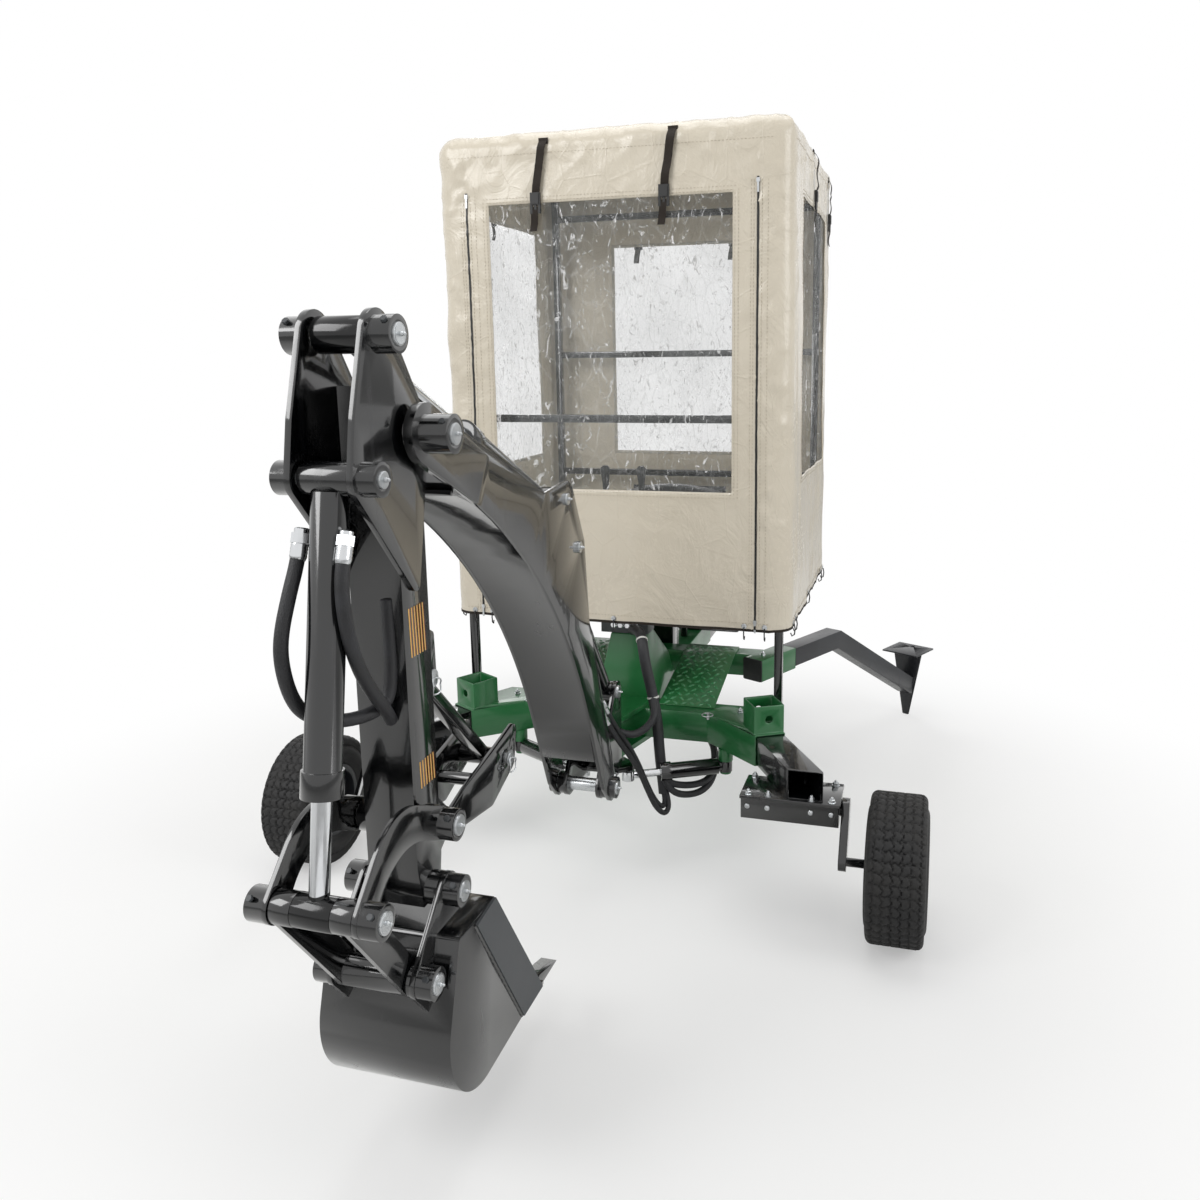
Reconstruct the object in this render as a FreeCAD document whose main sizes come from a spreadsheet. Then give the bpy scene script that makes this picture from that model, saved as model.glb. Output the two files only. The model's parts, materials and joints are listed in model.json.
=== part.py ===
import FreeCAD, Part
import math
import os
import re
from types import SimpleNamespace
from FreeCAD import Placement, Rotation, Vector

# Towed backhoe with a fabric cab. Millimetres, X to the right, Y towards the tow coupling, Z up.
# In the machine's own layout Y is 0 at the centre of the two upright sockets and Z is 0 on the ground.

doc = FreeCAD.newDocument("backhoe")
sheet = doc.addObject("Spreadsheet::Sheet", "sizes")

# Driving dimensions: name, value, what it is
table = [
    ("middleShift", 157.5, "socket line to the middle of the machine's length"),
    ("frameTube", 100, "square frame tube, outside"),
    ("frameWall", 5, "wall of the frame tubes"),
    ("frameBase", 358, "ground to the underside of the frame"),
    ("slipFit", 0.3, "gap round a tube that slides in another"),
    ("seatGap", 0.3, "gap between pieces of different bodies that seat on each other"),
    ("slideTube", 90, "square tube that slides in the frame tubes"),
    ("slideWall", 5, "wall of the sliding tubes"),
    ("beamFront", 80, "socket line to the cross beam's front face"),
    ("beamHalf", 293, "half length of the beam's straight front face"),
    ("socketX", 491, "centre plane to the socket's centre"),
    ("wingTurn", 30, "degrees a wing turns out from straight ahead"),
    ("wingLip", 60, "wing's end beyond the socket's centre"),
    ("socketRise", 88, "height of the upright sockets"),
    ("socketHole", 12, "radius of the socket's pin hole"),
    ("railEnd", 1250, "rear end of the main rail"),
    ("drawbarEnd", 1850, "rear end of the drawbar tube"),
    ("sleeveTube", 80, "leg sleeve, outside"),
    ("sleeveWall", 4.7, "wall of the leg sleeves"),
    ("sleeveX", 379, "sleeve's inner end from the centre plane"),
    ("sleeveY", 455, "sleeve's inner end behind the socket line"),
    ("sleeveLength", 214, "length of a leg sleeve"),
    ("sleeveTurn", 26.5, "degrees a sleeve turns out from straight back"),
    ("legTube", 70, "support leg, outside"),
    ("legWall", 4, "wall of the support legs"),
    ("legKnee", 534, "sleeve's inner end to the leg's knee"),
    ("legReach", 1175, "sleeve's inner end to the foot, level"),
    ("legEnd", 135, "ground to the centre of the leg's lower end"),
    ("footPlate", 8, "thickness of the foot plate and spade"),
    ("boxLength", 287, "length of the axle box"),
    ("boxDepth", 150, "depth of the axle box"),
    ("boxHeight", 60, "height of the axle box"),
    ("boxPlate", 10, "thickness of the axle box's bolting plate"),
    ("boxX", 614, "centre plane to the axle box's centre"),
    ("boxY", -225, "axle box's centre from the socket line"),
    ("wheelX", 919, "centre plane to the wheel's centre"),
    ("wheelY", -318, "wheel's centre from the socket line"),
    ("wheelZ", 206, "ground to the wheel's centre"),
    ("tyreWidth", 168, "width of a tyre"),
    ("rimSeat", 101.6, "radius of the rim's bead seat"),
    ("rimWidth", 137, "width between the rim's flanges"),
    ("carcass", 13, "thickness of the tyre's walls"),
    ("spindle", 12.5, "radius of the stub axle"),
    ("runFit", 0.05, "running clearance on a radius"),
    ("swingY", -60, "swing axis from the socket line"),
    ("kingPin", 20, "radius of the king pin"),
    ("swingPlate", 16, "thickness of the fixed swing plates"),
    ("pinRadius", 20, "radius of the arm's pins"),
    ("bossRadius", 34, "radius of the arm's bosses"),
    ("postInner", 45, "half width inside the swing post's cheeks"),
    ("postPlate", 12, "thickness of the swing post's cheeks"),
    ("boomInner", 78, "half width inside the boom's side plates"),
    ("boomPlate", 10, "thickness of the boom's side plates"),
    ("boomWeb", 8, "thickness of the boom's top and bottom plates"),
    ("doubler", 8, "thickness of the plate on the boom's tip"),
    ("dipperHalf", 53, "half width of the dipper's box"),
    ("dipperWall", 6, "wall of the dipper's box"),
    ("dipperPlate", 12, "thickness of the dipper's head plates"),
    ("linkPlate", 10, "thickness of the guide links and bucket links"),
    ("earInner", 80, "half width inside the bucket's ears and the guide links"),
    ("coupleInner", 62, "half width inside the bucket link's plates"),
    ("bucketHalf", 140, "half width of the bucket"),
    ("bucketWall", 8, "thickness of the bucket's plates"),
    ("coverHalf", 566, "half width of the cab cover"),
    ("coverFront", 10, "cover's front face from the socket line"),
    ("coverDepth", 1016, "front to back over the cover"),
    ("coverBase", 766, "ground to the cover's lower edge"),
    ("coverTop", 2297, "ground to the cover's roof"),
    ("coverWall", 4, "thickness of the cover's cloth"),
    ("coverRound", 60, "radius along the roof's edges"),
    ("pane", 1.5, "thickness of the clear panes"),
    ("paneLap", 12, "how far a pane laps behind the cloth"),
    ("windowLow", 1200, "lower edge of the front window"),
    ("windowHigh", 2080, "upper edge of the front window"),
    ("windowHalf", 385, "half width of the front window"),
    ("rearHalf", 300, "half width of the rear window"),
    ("rearLow", 464, "cover's lower edge to the rear and side windows"),
    ("rearDrop", 247, "cover's roof to the top of the rear window"),
    ("sideDrop", 207, "cover's roof to the top of the side windows"),
    ("sideWindowNear", 217, "side window's front edge behind the cover's front"),
    ("sideWindowFar", 833, "side window's rear edge behind the cover's front"),
    ("frameBar", 25, "square tube of the cab frame"),
    ("postX", 526, "centre plane to the cab's posts"),
    ("postFront", 74, "front posts behind the socket line"),
    ("postRear", 962, "rear posts behind the socket line"),
    ("pinHead", 3, "how far a pin stands out of its boss"),
    ("swingPin", 12, "radius of the swing cylinders' pins"),
]
for row, (name, value, words) in enumerate(table, 1):
    sheet.set(f"A{row}", words)
    sheet.set(f"B{row}", str(value))
    sheet.setAlias(f"B{row}", name)
doc.recompute()
names = [name for name, value, words in table]
size = SimpleNamespace(**{name: float(sheet.get(name)) for name in names})
beamTop = size.frameBase + size.frameTube
beamBack = size.beamFront + size.frameTube


def bind(thing, prop, text):
    """Ties a property to the sheet: bare size names become references to its cells."""
    linked = re.sub(r"[A-Za-z]+", lambda word: "sizes." + word.group() if word.group() in names else word.group(), str(text))
    thing.setExpression(prop, linked)


def turned(point, degrees):
    angle = math.radians(degrees)
    return (point[0] * math.cos(angle) - point[1] * math.sin(angle),
            point[0] * math.sin(angle) + point[1] * math.cos(angle))


def belt(discs):
    """A closed outline drawn round discs (a, b, radius), anticlockwise.
    A radius of 0 is a sharp corner and a negative one a hollow curve."""
    count = len(discs)
    normals = []
    for this, after in zip(discs, discs[1:] + discs[:1]):
        run = math.hypot(after[0] - this[0], after[1] - this[1])
        along = ((after[0] - this[0]) / run, (after[1] - this[1]) / run)
        lean = (this[2] - after[2]) / run
        side = math.sqrt(1 - lean * lean)
        normals.append((lean * along[0] + side * along[1], lean * along[1] - side * along[0]))
    edges = []
    for number, (a, b, radius) in enumerate(discs):
        before = normals[number - 1]
        normal = normals[number]
        if radius:
            turn = math.atan2(before[0] * normal[1] - before[1] * normal[0],
                              before[0] * normal[0] + before[1] * normal[1])
            if turn * radius < 0:
                turn += math.copysign(2 * math.pi, radius)
            middle = turned(before, math.degrees(turn / 2))
            points = [Vector(a + radius * n[0], b + radius * n[1], 0) for n in (before, middle, normal)]
            edges.append(Part.Arc(*points))
        after = discs[(number + 1) % count]
        start = Vector(a + radius * normal[0], b + radius * normal[1], 0)
        end = Vector(after[0] + after[2] * normal[0], after[1] + after[2] * normal[1], 0)
        edges.append(Part.LineSegment(start, end))
    return edges


def circle(a, b, radius):
    return [Part.Circle(Vector(a, b, 0), Vector(0, 0, 1), radius)]


def polygon(points):
    """A closed outline of straight edges; a point that repeats the one before is left out."""
    return belt([(*point, 0) for number, point in enumerate(points) if point != points[number - 1]])


def box(lowA, lowB, highA, highB):
    return polygon([(lowA, lowB), (highA, lowB), (highA, highB), (lowA, highB)])


def square(half, a=0, b=0, degrees=0):
    corners = [turned(corner, degrees) for corner in ((-half, -half), (half, -half), (half, half), (-half, half))]
    return polygon([(a + x, b + y) for x, y in corners])


def strip(path, half):
    """Both edges of a band of even width along a path of points, with mitred bends."""
    sides = []
    for sign in (-1, 1):
        edge = []
        for number, point in enumerate(path):
            runs = [(a, b) for a, b in ((number - 1, number), (number, number + 1)) if a >= 0 and b < len(path)]
            units = []
            for a, b in runs:
                length = math.dist(path[a], path[b])
                units.append(((path[b][0] - path[a][0]) / length, (path[b][1] - path[a][1]) / length))
            mean = (sum(u[0] for u in units), sum(u[1] for u in units))
            length = math.hypot(*mean)
            mean = (mean[0] / length, mean[1] / length)
            grow = half / (mean[0] * units[0][0] + mean[1] * units[0][1])
            edge.append((point[0] - sign * mean[1] * grow, point[1] + sign * mean[0] * grow))
        sides.append(edge)
    return sides[0] + sides[1][::-1]


def mirrored(points):
    """The same outline on the left, in the order that keeps it anticlockwise."""
    return [(-point[0], *point[1:]) for point in reversed(points)]


class Piece:
    """One sub-part: a body built from sketches on its own origin planes."""

    def __init__(self, label, placement=Placement()):
        self.body = doc.addObject("PartDesign::Body", label)
        self.body.Label = label
        if hasattr(self.body, "AllowCompound"):
            self.body.AllowCompound = True
        pieces.append(self.body)
        places[label] = placement

    def sketch(self, role, loops, start, turn=None):
        drawing = self.body.newObject("Sketcher::SketchObject", "outline")
        plane = next(face for face in self.body.Origin.OriginFeatures if face.Role == role)
        drawing.AttachmentSupport = [(plane, "")]
        drawing.MapMode = "FlatFace"
        if turn:
            drawing.AttachmentOffset = turn
        else:
            bind(drawing, "AttachmentOffset.Base.z", start)
        for loop in loops:
            drawing.addGeometry(loop, False)
        return drawing

    def pad(self, role, loops, start, length, turn=None):
        drawing = self.sketch(role, loops, start, turn)
        feature = self.body.newObject("PartDesign::Pad", "pad")
        feature.Profile = drawing
        bind(feature, "Length", length)
        return feature

    def pocket(self, role, loops, start, length, turn=None):
        doc.recompute()
        before = self.body.Shape.Volume
        drawing = self.sketch(role, loops, start, turn)
        feature = self.body.newObject("PartDesign::Pocket", "pocket")
        feature.Profile = drawing
        bind(feature, "Length", length)
        doc.recompute()
        if self.body.Shape.Volume > before - 1:
            raise ValueError("a pocket in " + self.body.Label + " cuts nothing")
        return feature

    def both(self, loops, inner, thickness):
        """The same plate on the left and on the right of the centre plane."""
        self.pad("YZ_Plane", loops, inner, thickness)
        self.pad("YZ_Plane", loops, f"-({inner}) - ({thickness})", thickness)

    def across(self, loops, half):
        """A plate or tube that spans from left to right."""
        self.pad("YZ_Plane", loops, f"-({half})", f"2 * ({half})")

    def turning(self, role, loops, axis="V_Axis"):
        drawing = self.sketch(role, loops, "0")
        feature = self.body.newObject("PartDesign::Revolution", "turning")
        feature.Profile = drawing
        feature.ReferenceAxis = (drawing, [axis])
        feature.Angle = 360
        return feature


    def hollow(self, role, loops, axis):
        doc.recompute()
        before = self.body.Shape.Volume
        drawing = self.sketch(role, loops, "0")
        feature = self.body.newObject("PartDesign::Groove", "hollow")
        feature.Profile = drawing
        feature.ReferenceAxis = (drawing, [axis])
        feature.Angle = 360
        doc.recompute()
        if self.body.Shape.Volume > before - 1:
            raise ValueError("a groove in " + self.body.Label + " cuts nothing")
        return feature


pieces = []
places = {}

# Frame: cross beam with splayed wings and upright sockets

wing = math.radians(size.wingTurn)
wingAlong = (math.sin(wing), -math.cos(wing))
wingOut = (math.cos(wing), math.sin(wing))


def onWing(along, out):
    return (size.socketX + along * wingAlong[0] + out * wingOut[0], along * wingAlong[1] + out * wingOut[1])


def wingBack(out):
    """Where a line along the wing, this far out from its axis, meets the beam's rear face."""
    start = onWing(0, out)
    return (start[0] - (beamBack - start[1]) * math.tan(wing), beamBack)


half = size.frameTube / 2
rightSide = [(size.beamHalf, size.beamFront), onWing(size.wingLip, -half), onWing(size.wingLip, half), wingBack(half)]
bore = size.slideTube / 2 + size.slipFit
crossmember = Piece("crossmember")
crossmember.pad("XY_Plane", [polygon(mirrored(rightSide) + rightSide)], "frameBase", "frameTube")
backWall = beamBack - size.frameWall
innerSide = [(size.beamHalf - 2, size.beamFront + size.frameWall), onWing(20, -bore), onWing(size.wingLip + 20, -bore),
             onWing(size.wingLip + 20, bore), (wingBack(bore)[0] + size.frameWall * math.tan(wing), backWall)]
crossmember.pocket("XY_Plane", [polygon(mirrored(innerSide) + innerSide)], "frameBase + frameTube - frameWall",
                   "frameTube - 2 * frameWall")
for sign in (-1, 1):
    ring = [square(half, sign * size.socketX, 0, sign * size.wingTurn),
            square(half - size.frameWall, sign * size.socketX, 0, sign * size.wingTurn)]
    crossmember.pad("XY_Plane", ring, "frameBase + frameTube", "socketRise")
    middle = Placement(Vector(sign * size.socketX, 0, 0), Rotation(Vector(0, 0, 1), sign * size.wingTurn))
    upright = Placement(Vector(), Rotation(Vector(1, 0, 0), 90))
    across = upright.inverse() * middle * upright * Placement(Vector(0, 0, half + 1), Rotation())
    hole = [circle(0, beamTop + size.socketRise / 2, size.socketHole)]
    crossmember.pocket("XZ_Plane", hole, "0", "frameTube + 2", across)

# Main rail, rear cross tube with the leg sleeves

mainRail = Piece("main_rail")
railRing = [box(-half, size.frameBase, half, beamTop),
            box(size.frameWall - half, size.frameBase + size.frameWall, half - size.frameWall, beamTop - size.frameWall)]
mainRail.pad("XZ_Plane", railRing, "-railEnd", "railEnd - beamFront - frameTube")

sleeveTurn = math.radians(size.sleeveTurn)
sleeveAlong = (math.sin(sleeveTurn), math.cos(sleeveTurn))
sleeveOut = (math.cos(sleeveTurn), -math.sin(sleeveTurn))


def onSleeve(along, out):
    return (size.sleeveX + along * sleeveAlong[0] + out * sleeveOut[0],
            size.sleeveY + along * sleeveAlong[1] + out * sleeveOut[1])


sleeveHalf = size.sleeveTube / 2
sleeves = Piece("leg_sleeves")
crossNear = 500
crossFar = crossNear + size.sleeveTube
sleeveBase = beamTop
for sign in (-1, 1):
    outer = [onSleeve(0, -sleeveHalf), onSleeve(0, sleeveHalf), onSleeve(size.sleeveLength, sleeveHalf),
             onSleeve(size.sleeveLength, -sleeveHalf)]
    sleeves.pad("XY_Plane", [polygon(outer if sign > 0 else mirrored(outer))], "frameBase + frameTube", "sleeveTube")


def sleeveSide(y):
    """X of the sleeve's inner side at this y."""
    start = onSleeve(0, -sleeveHalf)
    return start[0] + (y - start[1]) * math.tan(sleeveTurn) + 1


crossSide = [(sleeveSide(crossNear), crossNear), (sleeveSide(crossFar), crossFar)]
sleeves.pad("XY_Plane", [polygon(mirrored(crossSide) + crossSide)], "frameBase + frameTube", "sleeveTube")
sleeveBore = size.legTube / 2 + size.slipFit
for sign in (-1, 1):
    inner = [onSleeve(-5, -sleeveBore), onSleeve(-5, sleeveBore), onSleeve(size.sleeveLength + 5, sleeveBore),
             onSleeve(size.sleeveLength + 5, -sleeveBore)]
    sleeves.pocket("XY_Plane", [polygon(inner if sign > 0 else mirrored(inner))],
                   "frameBase + frameTube + sleeveTube / 2 + legTube / 2 + slipFit", "legTube + 2 * slipFit")

caps = Piece("sleeve_caps")
for sign in (-1, 1):
    for along, deep, wide in ((-6, 6, sleeveHalf), (0, 30, sleeveBore - size.slipFit)):
        plug = [onSleeve(along, -wide), onSleeve(along, wide), onSleeve(along + deep, wide), onSleeve(along + deep, -wide)]
        plugBase = beamTop + sleeveHalf - wide
        caps.pad("XY_Plane", [polygon(plug if sign > 0 else mirrored(plug))], str(plugBase), str(2 * wide))

# Console with the valve, tread plates

consoleNear = 140
consoleFar = 380
consoleTop = 690
console = Piece("console")
console.pad("XZ_Plane", [polygon([(-110, beamTop), (110, beamTop), (60, consoleTop), (-60, consoleTop)])],
            str(-consoleFar), str(consoleFar - consoleNear))
frontSlope = [(consoleNear - 5, 500), (158, consoleTop + 5), (consoleNear - 5, consoleTop + 5)]
rearSlope = [(250, consoleTop + 5), (consoleFar + 5, 560), (consoleFar + 5, consoleTop + 5)]
for slope in (frontSlope, rearSlope):
    console.pocket("YZ_Plane", [polygon(slope)], "120", "240")

treadNear = 125
treadFar = crossFar
treads = Piece("tread_plates")
sleeveTop = beamTop + size.sleeveTube
treadLine = [(treadNear, beamTop + 2.3), (crossNear - 2, sleeveTop + 2.3), (treadFar, sleeveTop + 2.3)]
for start in (114, -306):
    treads.pad("YZ_Plane", [polygon(strip(treadLine, 2))], str(start), "192")

# Drawbar with its ball coupling

drawbar = Piece("drawbar")
slideHalf = size.slideTube / 2
drawbarStart = size.railEnd - 200
tubeCentre = size.frameBase + half
drawbar.pad("XZ_Plane", [square(slideHalf, 0, tubeCentre), square(slideHalf - size.slideWall, 0, tubeCentre)],
            "-drawbarEnd", f"drawbarEnd - {drawbarStart}")
coupling = Piece("tow_coupling")
couplingY = size.drawbarEnd + 90
headOutline = belt([(-20, size.drawbarEnd + 1, 0), (20, size.drawbarEnd + 1, 0), (0, couplingY, 36)])
couplingBase = size.frameBase + 10
coupling.pad("XY_Plane", [headOutline], str(couplingBase), "62")
coupling.pad("XY_Plane", [box(-45, size.drawbarEnd + 0.5, 45, size.drawbarEnd + 10.5)], "frameBase + 5", "90")
coupling.pocket("XY_Plane", [circle(0, couplingY, 25.3)], str(couplingBase + 40), "50")
coupling.pad("YZ_Plane", [polygon([(size.drawbarEnd + 20, couplingBase + 62), (size.drawbarEnd + 30, couplingBase + 62),
                                   (size.drawbarEnd + 95, couplingBase + 96), (size.drawbarEnd + 95, couplingBase + 104),
                                   (size.drawbarEnd + 20, couplingBase + 70)])], "-10", "20")


# Axles: sliding tube, bolted box, suspension arm, wheel

tube = Piece("axle_tubes")
axle = Piece("axle_boxes")
arm = Piece("suspension_arms")


def axleSide(sign, word):
    flip = (lambda points: points) if sign > 0 else mirrored
    tubeStart = onWing(-110, 0)
    cutY = size.boxY - 65

    def atCut(out):
        start = onWing(0, out)
        return (start[0] + (start[1] - cutY) * math.tan(wing), cutY)

    outer = [onWing(-110, -slideHalf), atCut(-slideHalf), atCut(slideHalf), onWing(-110, slideHalf)]
    tube.pad("XY_Plane", [polygon(flip(outer))], "frameBase + frameTube / 2 - slideTube / 2", "slideTube")
    boreHalf = slideHalf - size.slideWall
    inner = [onWing(-115, -boreHalf), (atCut(-boreHalf)[0] + 3, cutY - 5), (atCut(boreHalf)[0] + 3, cutY - 5), onWing(-115, boreHalf)]
    tube.pocket("XY_Plane", [polygon(flip(inner))], "frameBase + frameTube / 2 + slideTube / 2 - slideWall", "slideTube - 2 * slideWall")

    plateTop = size.frameBase + half - slideHalf
    boxTop = plateTop - size.boxPlate
    halfLength = size.boxLength / 2
    halfDepth = size.boxDepth / 2
    centre = sign * size.boxX
    axle.pad("XY_Plane", [box(centre - halfLength, size.boxY - halfDepth, centre + halfLength, size.boxY + halfDepth)],
             str(boxTop), "boxPlate")
    axle.pad("XZ_Plane", [box(centre - halfLength + 3, boxTop - size.boxHeight, centre + halfLength - 3, boxTop)],
             "-(boxY) - boxDepth / 2 + 5", "boxDepth - 10")

    pivotZ = boxTop - size.boxHeight / 2
    armStart = size.boxX + halfLength + 1
    armThick = 22
    start = armStart if sign > 0 else -armStart - armThick
    arm.pad("YZ_Plane", [belt([(size.wheelY, size.wheelZ, 27), (size.boxY, pivotZ, 30)])], str(start), str(armThick))
    stubStart = armStart - 4
    arm.pad("YZ_Plane", [circle(size.boxY, pivotZ, 24)], str(stubStart if sign > 0 else -stubStart - 5), "5")
    spindleEnd = size.wheelX + 34
    spindleStart = armStart + armThick
    arm.pad("YZ_Plane", [circle(size.wheelY, size.wheelZ, size.spindle)],
            str(spindleStart - 1 if sign > 0 else -spindleEnd), str(spindleEnd - spindleStart + 1))

    place = Placement(Vector(sign * size.wheelX, size.wheelY, size.wheelZ), Rotation(Vector(0, 0, 1), 0 if sign > 0 else 180))
    rim = Piece("rim_" + word, place)
    seat = size.rimSeat
    rimHalf = size.rimWidth / 2
    sheetHalf = 2
    hubRadius = 26
    boreRadius = size.spindle + size.runFit
    profile = [(-64, boreRadius), (32, boreRadius), (32, hubRadius), (6, hubRadius), (6, 60), (22, seat - 10),
               (rimHalf - 22, seat - 6), (rimHalf + 2, seat - 6), (rimHalf + 2, seat + 12), (rimHalf - 2, seat + 12),
               (rimHalf - 2, seat - 2), (rimHalf - 20, seat - 2), (24, seat - 6), (-24, seat - 6),
               (20 - rimHalf, seat - 2), (2 - rimHalf, seat - 2), (2 - rimHalf, seat + 12), (-rimHalf - 2, seat + 12),
               (-rimHalf - 2, seat - 6), (22 - rimHalf, seat - 6), (-26, seat - 10), (14, seat - 10), (2, 62),
               (2, hubRadius), (-64, hubRadius)]
    rim.turning("XZ_Plane", [polygon(profile[::-1])], "H_Axis")

    tyre = Piece("tyre_" + word, place)
    tyreHalf = size.tyreWidth / 2
    crown = size.wheelZ
    bead = seat + size.seatGap
    wall = size.carcass
    flange = rimHalf - 2 - size.seatGap
    outerBelt = [(-flange, bead, 0), (flange, bead, 0), (flange, bead + 12, 0), (tyreHalf - 30, 150, 30),
                 (tyreHalf - 26, crown - 20, 20), (26 - tyreHalf, crown - 20, 20), (30 - tyreHalf, 150, 30),
                 (-flange, bead + 12, 0)]
    innerBelt = [(30 - rimHalf, bead - 1, 0), (rimHalf - 30, bead - 1, 0), (tyreHalf - 34, 150, 34 - wall),
                 (tyreHalf - 34, crown - 36, 36 - wall - 4), (34 - tyreHalf, crown - 36, 36 - wall - 4),
                 (34 - tyreHalf, 150, 34 - wall)]
    tyre.turning("XZ_Plane", [belt(outerBelt)], "H_Axis")
    tyre.hollow("XZ_Plane", [belt(innerBelt)], "H_Axis")


for sign, word in ((-1, "left"), (1, "right")):
    axleSide(sign, word)


# Support legs, in their own frame: X along the sleeve, Z up

def supportLeg(sign, word):
    place = Placement(Vector(sign * size.sleeveX, size.sleeveY, 0), Rotation(Vector(0, 0, 1), 90 - size.sleeveTurn if sign > 0 else 90 + size.sleeveTurn))
    leg = Piece("support_leg_" + word, place)
    level = beamTop + sleeveHalf
    legHalf = size.legTube / 2
    path = [(40, level), (size.legKnee, level), (size.legReach, size.legEnd)]
    leg.pad("XZ_Plane", [polygon(strip(path, legHalf))], "-legTube / 2", "legTube")
    slope = (path[2][0] - path[1][0], path[2][1] - path[1][1])
    inner = [(35, level), path[1], (path[2][0] + slope[0] * 0.02, path[2][1] + slope[1] * 0.02)]
    leg.pocket("XZ_Plane", [polygon(strip(inner, legHalf - size.legWall))], "legTube / 2 - legWall", "legTube - 2 * legWall")
    spadeX = size.legReach
    plateZ = 300
    leg.pad("YZ_Plane", [polygon([(-15, 0), (15, 0), (70, plateZ), (-70, plateZ)])], str(spadeX - 4), "footPlate")
    leg.pad("XY_Plane", [box(spadeX - 80, -85, spadeX + 80, 85), circle(spadeX + 45, 0, 10)], str(plateZ - 1), "footPlate")


for sign, word in ((-1, "left"), (1, "right")):
    supportLeg(sign, word)

# Fixed swing plates with the king pin

swingPlates = Piece("swing_bracket")
plateOutline = belt([(0, size.swingY, 44), (95, consoleNear, 0), (-95, consoleNear, 0)])
kingHole = circle(0, size.swingY, size.kingPin)
for low in ("frameBase + frameTube", "frameBase - swingPlate"):
    swingPlates.pad("XY_Plane", [plateOutline, kingHole], low, "swingPlate")
plateTop = beamTop + size.swingPlate
kingBottom = size.frameBase - size.swingPlate - 24
swingPlates.pad("XY_Plane", [circle(0, size.swingY, size.kingPin)], str(kingBottom), f"{plateTop + 12 - kingBottom}")
swingPlates.pad("XY_Plane", [circle(0, size.swingY, 28)], str(plateTop), "10")

anchor = (360, 50)
swingLevel = size.frameBase - size.swingPlate - 43
for sign in (-1, 1):
    swingPlates.pad("XY_Plane", [circle(sign * anchor[0], anchor[1], 24)], str(swingLevel + 18.5),
                    f"{size.frameBase - swingLevel - 18.5}")
    swingPlates.pad("XY_Plane", [circle(sign * anchor[0], anchor[1], size.swingPin)], str(swingLevel - 26), "60")
    swingPlates.pad("XY_Plane", [circle(sign * anchor[0], anchor[1], 18)], str(swingLevel - 26), "7.5")

# Arm: pivots in the plane of the arm, as (y, z)

foot = (-306, 348)
postPin = (-140, 588)
boomLift = (-541, 1122)
boomReach = (-624, 1261)
elbow = (-1345, 1479)
crowd = (-1442, 1652)
bucketBase = (-1508, 1415)
guidePin = (-1351, 734)
rodPin = (-1629, 694)
tipPin = (-1342, 592)
couplePin = (-1462, 471)
pin = size.pinRadius
boss = size.bossRadius


# Swing post: cheeks, back plate, barrel round the king pin and the lug plate below

def ring(centre, outer, inner=None):
    loops = [circle(*centre, outer)]
    if inner:
        loops.append(circle(*centre, inner))
    return loops


def stubs(piece, centre, radius, start, end):
    """A pin's two visible ends, either side of what turns between them."""
    piece.both(ring(centre, radius), start, f"({end}) - ({start})")


slimPin = 15
turning = pin + size.runFit
post = Piece("swing_post")
cheekBack = size.swingY - 52
cheekOutline = belt([(*postPin, 34), (*foot, 36), (cheekBack - 20, 326, 6), (cheekBack - 6, 345, 6)])
post.both([cheekOutline, circle(*postPin, pin), circle(*foot, turning)], "postInner", "postPlate")
post.across([box(cheekBack - 12, 326, cheekBack, 560)], "postInner")
barrelLow = size.frameBase + 5
barrelOutline = belt([(0, size.swingY, 38), (-30, cheekBack - 3, 8), (30, cheekBack - 3, 8)])
post.pad("XY_Plane", [barrelOutline], str(barrelLow), "frameTube - 10")
lugTop = size.frameBase - size.swingPlate - 5
lugX = 75
lugY = size.swingY - 45
lugPlate = 14
lugOutline = belt([(lugX, lugY, 24), (0, size.swingY, 34), (-lugX, lugY, 24), (-50, -150, 8), (50, -150, 8)])
post.pad("XY_Plane", [lugOutline], str(lugTop - lugPlate), str(lugPlate))
rodEyeTop = swingLevel + 15
for sign in (-1, 1):
    post.pad("XY_Plane", [circle(sign * lugX, lugY, size.swingPin)], str(rodEyeTop + size.seatGap),
             str(lugTop - lugPlate + 1 - rodEyeTop - size.seatGap))
kingBore = [circle(0, size.swingY, size.kingPin + size.runFit)]
post.pocket("XY_Plane", kingBore, str(size.frameBase + size.frameTube), "200")
post.both(ring(foot, 33, turning), "postInner + postPlate", "boomInner - postInner - postPlate - 2")

# Boom: two curved side plates with plates between them

boom = Piece("boom")
archCentre = (-1813, 46)
archRadius = 1442
boomOutline = belt([(*elbow, 56), (*archCentre, -archRadius), (-352, 392, 36), (*foot, 40), (-478, 905, 0),
                    (*boomLift, 38), (*boomReach, 46), (-765, 1336, -40)])
boomHoles = [circle(*elbow, pin), circle(*foot, pin), circle(*boomLift, slimPin), circle(*boomReach, slimPin)]
boom.both([boomOutline] + boomHoles, "boomInner", "boomPlate")


def arcBand(centre, inner, outer, start, end):
    """Part of a ring between two angles."""
    def at(radius, degrees):
        angle = math.radians(degrees)
        return Vector(centre[0] + radius * math.cos(angle), centre[1] + radius * math.sin(angle), 0)
    middle = (start + end) / 2
    return [Part.Arc(at(outer, start), at(outer, middle), at(outer, end)),
            Part.LineSegment(at(outer, end), at(inner, end)),
            Part.Arc(at(inner, end), at(inner, middle), at(inner, start)),
            Part.LineSegment(at(inner, start), at(outer, start))]


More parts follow.
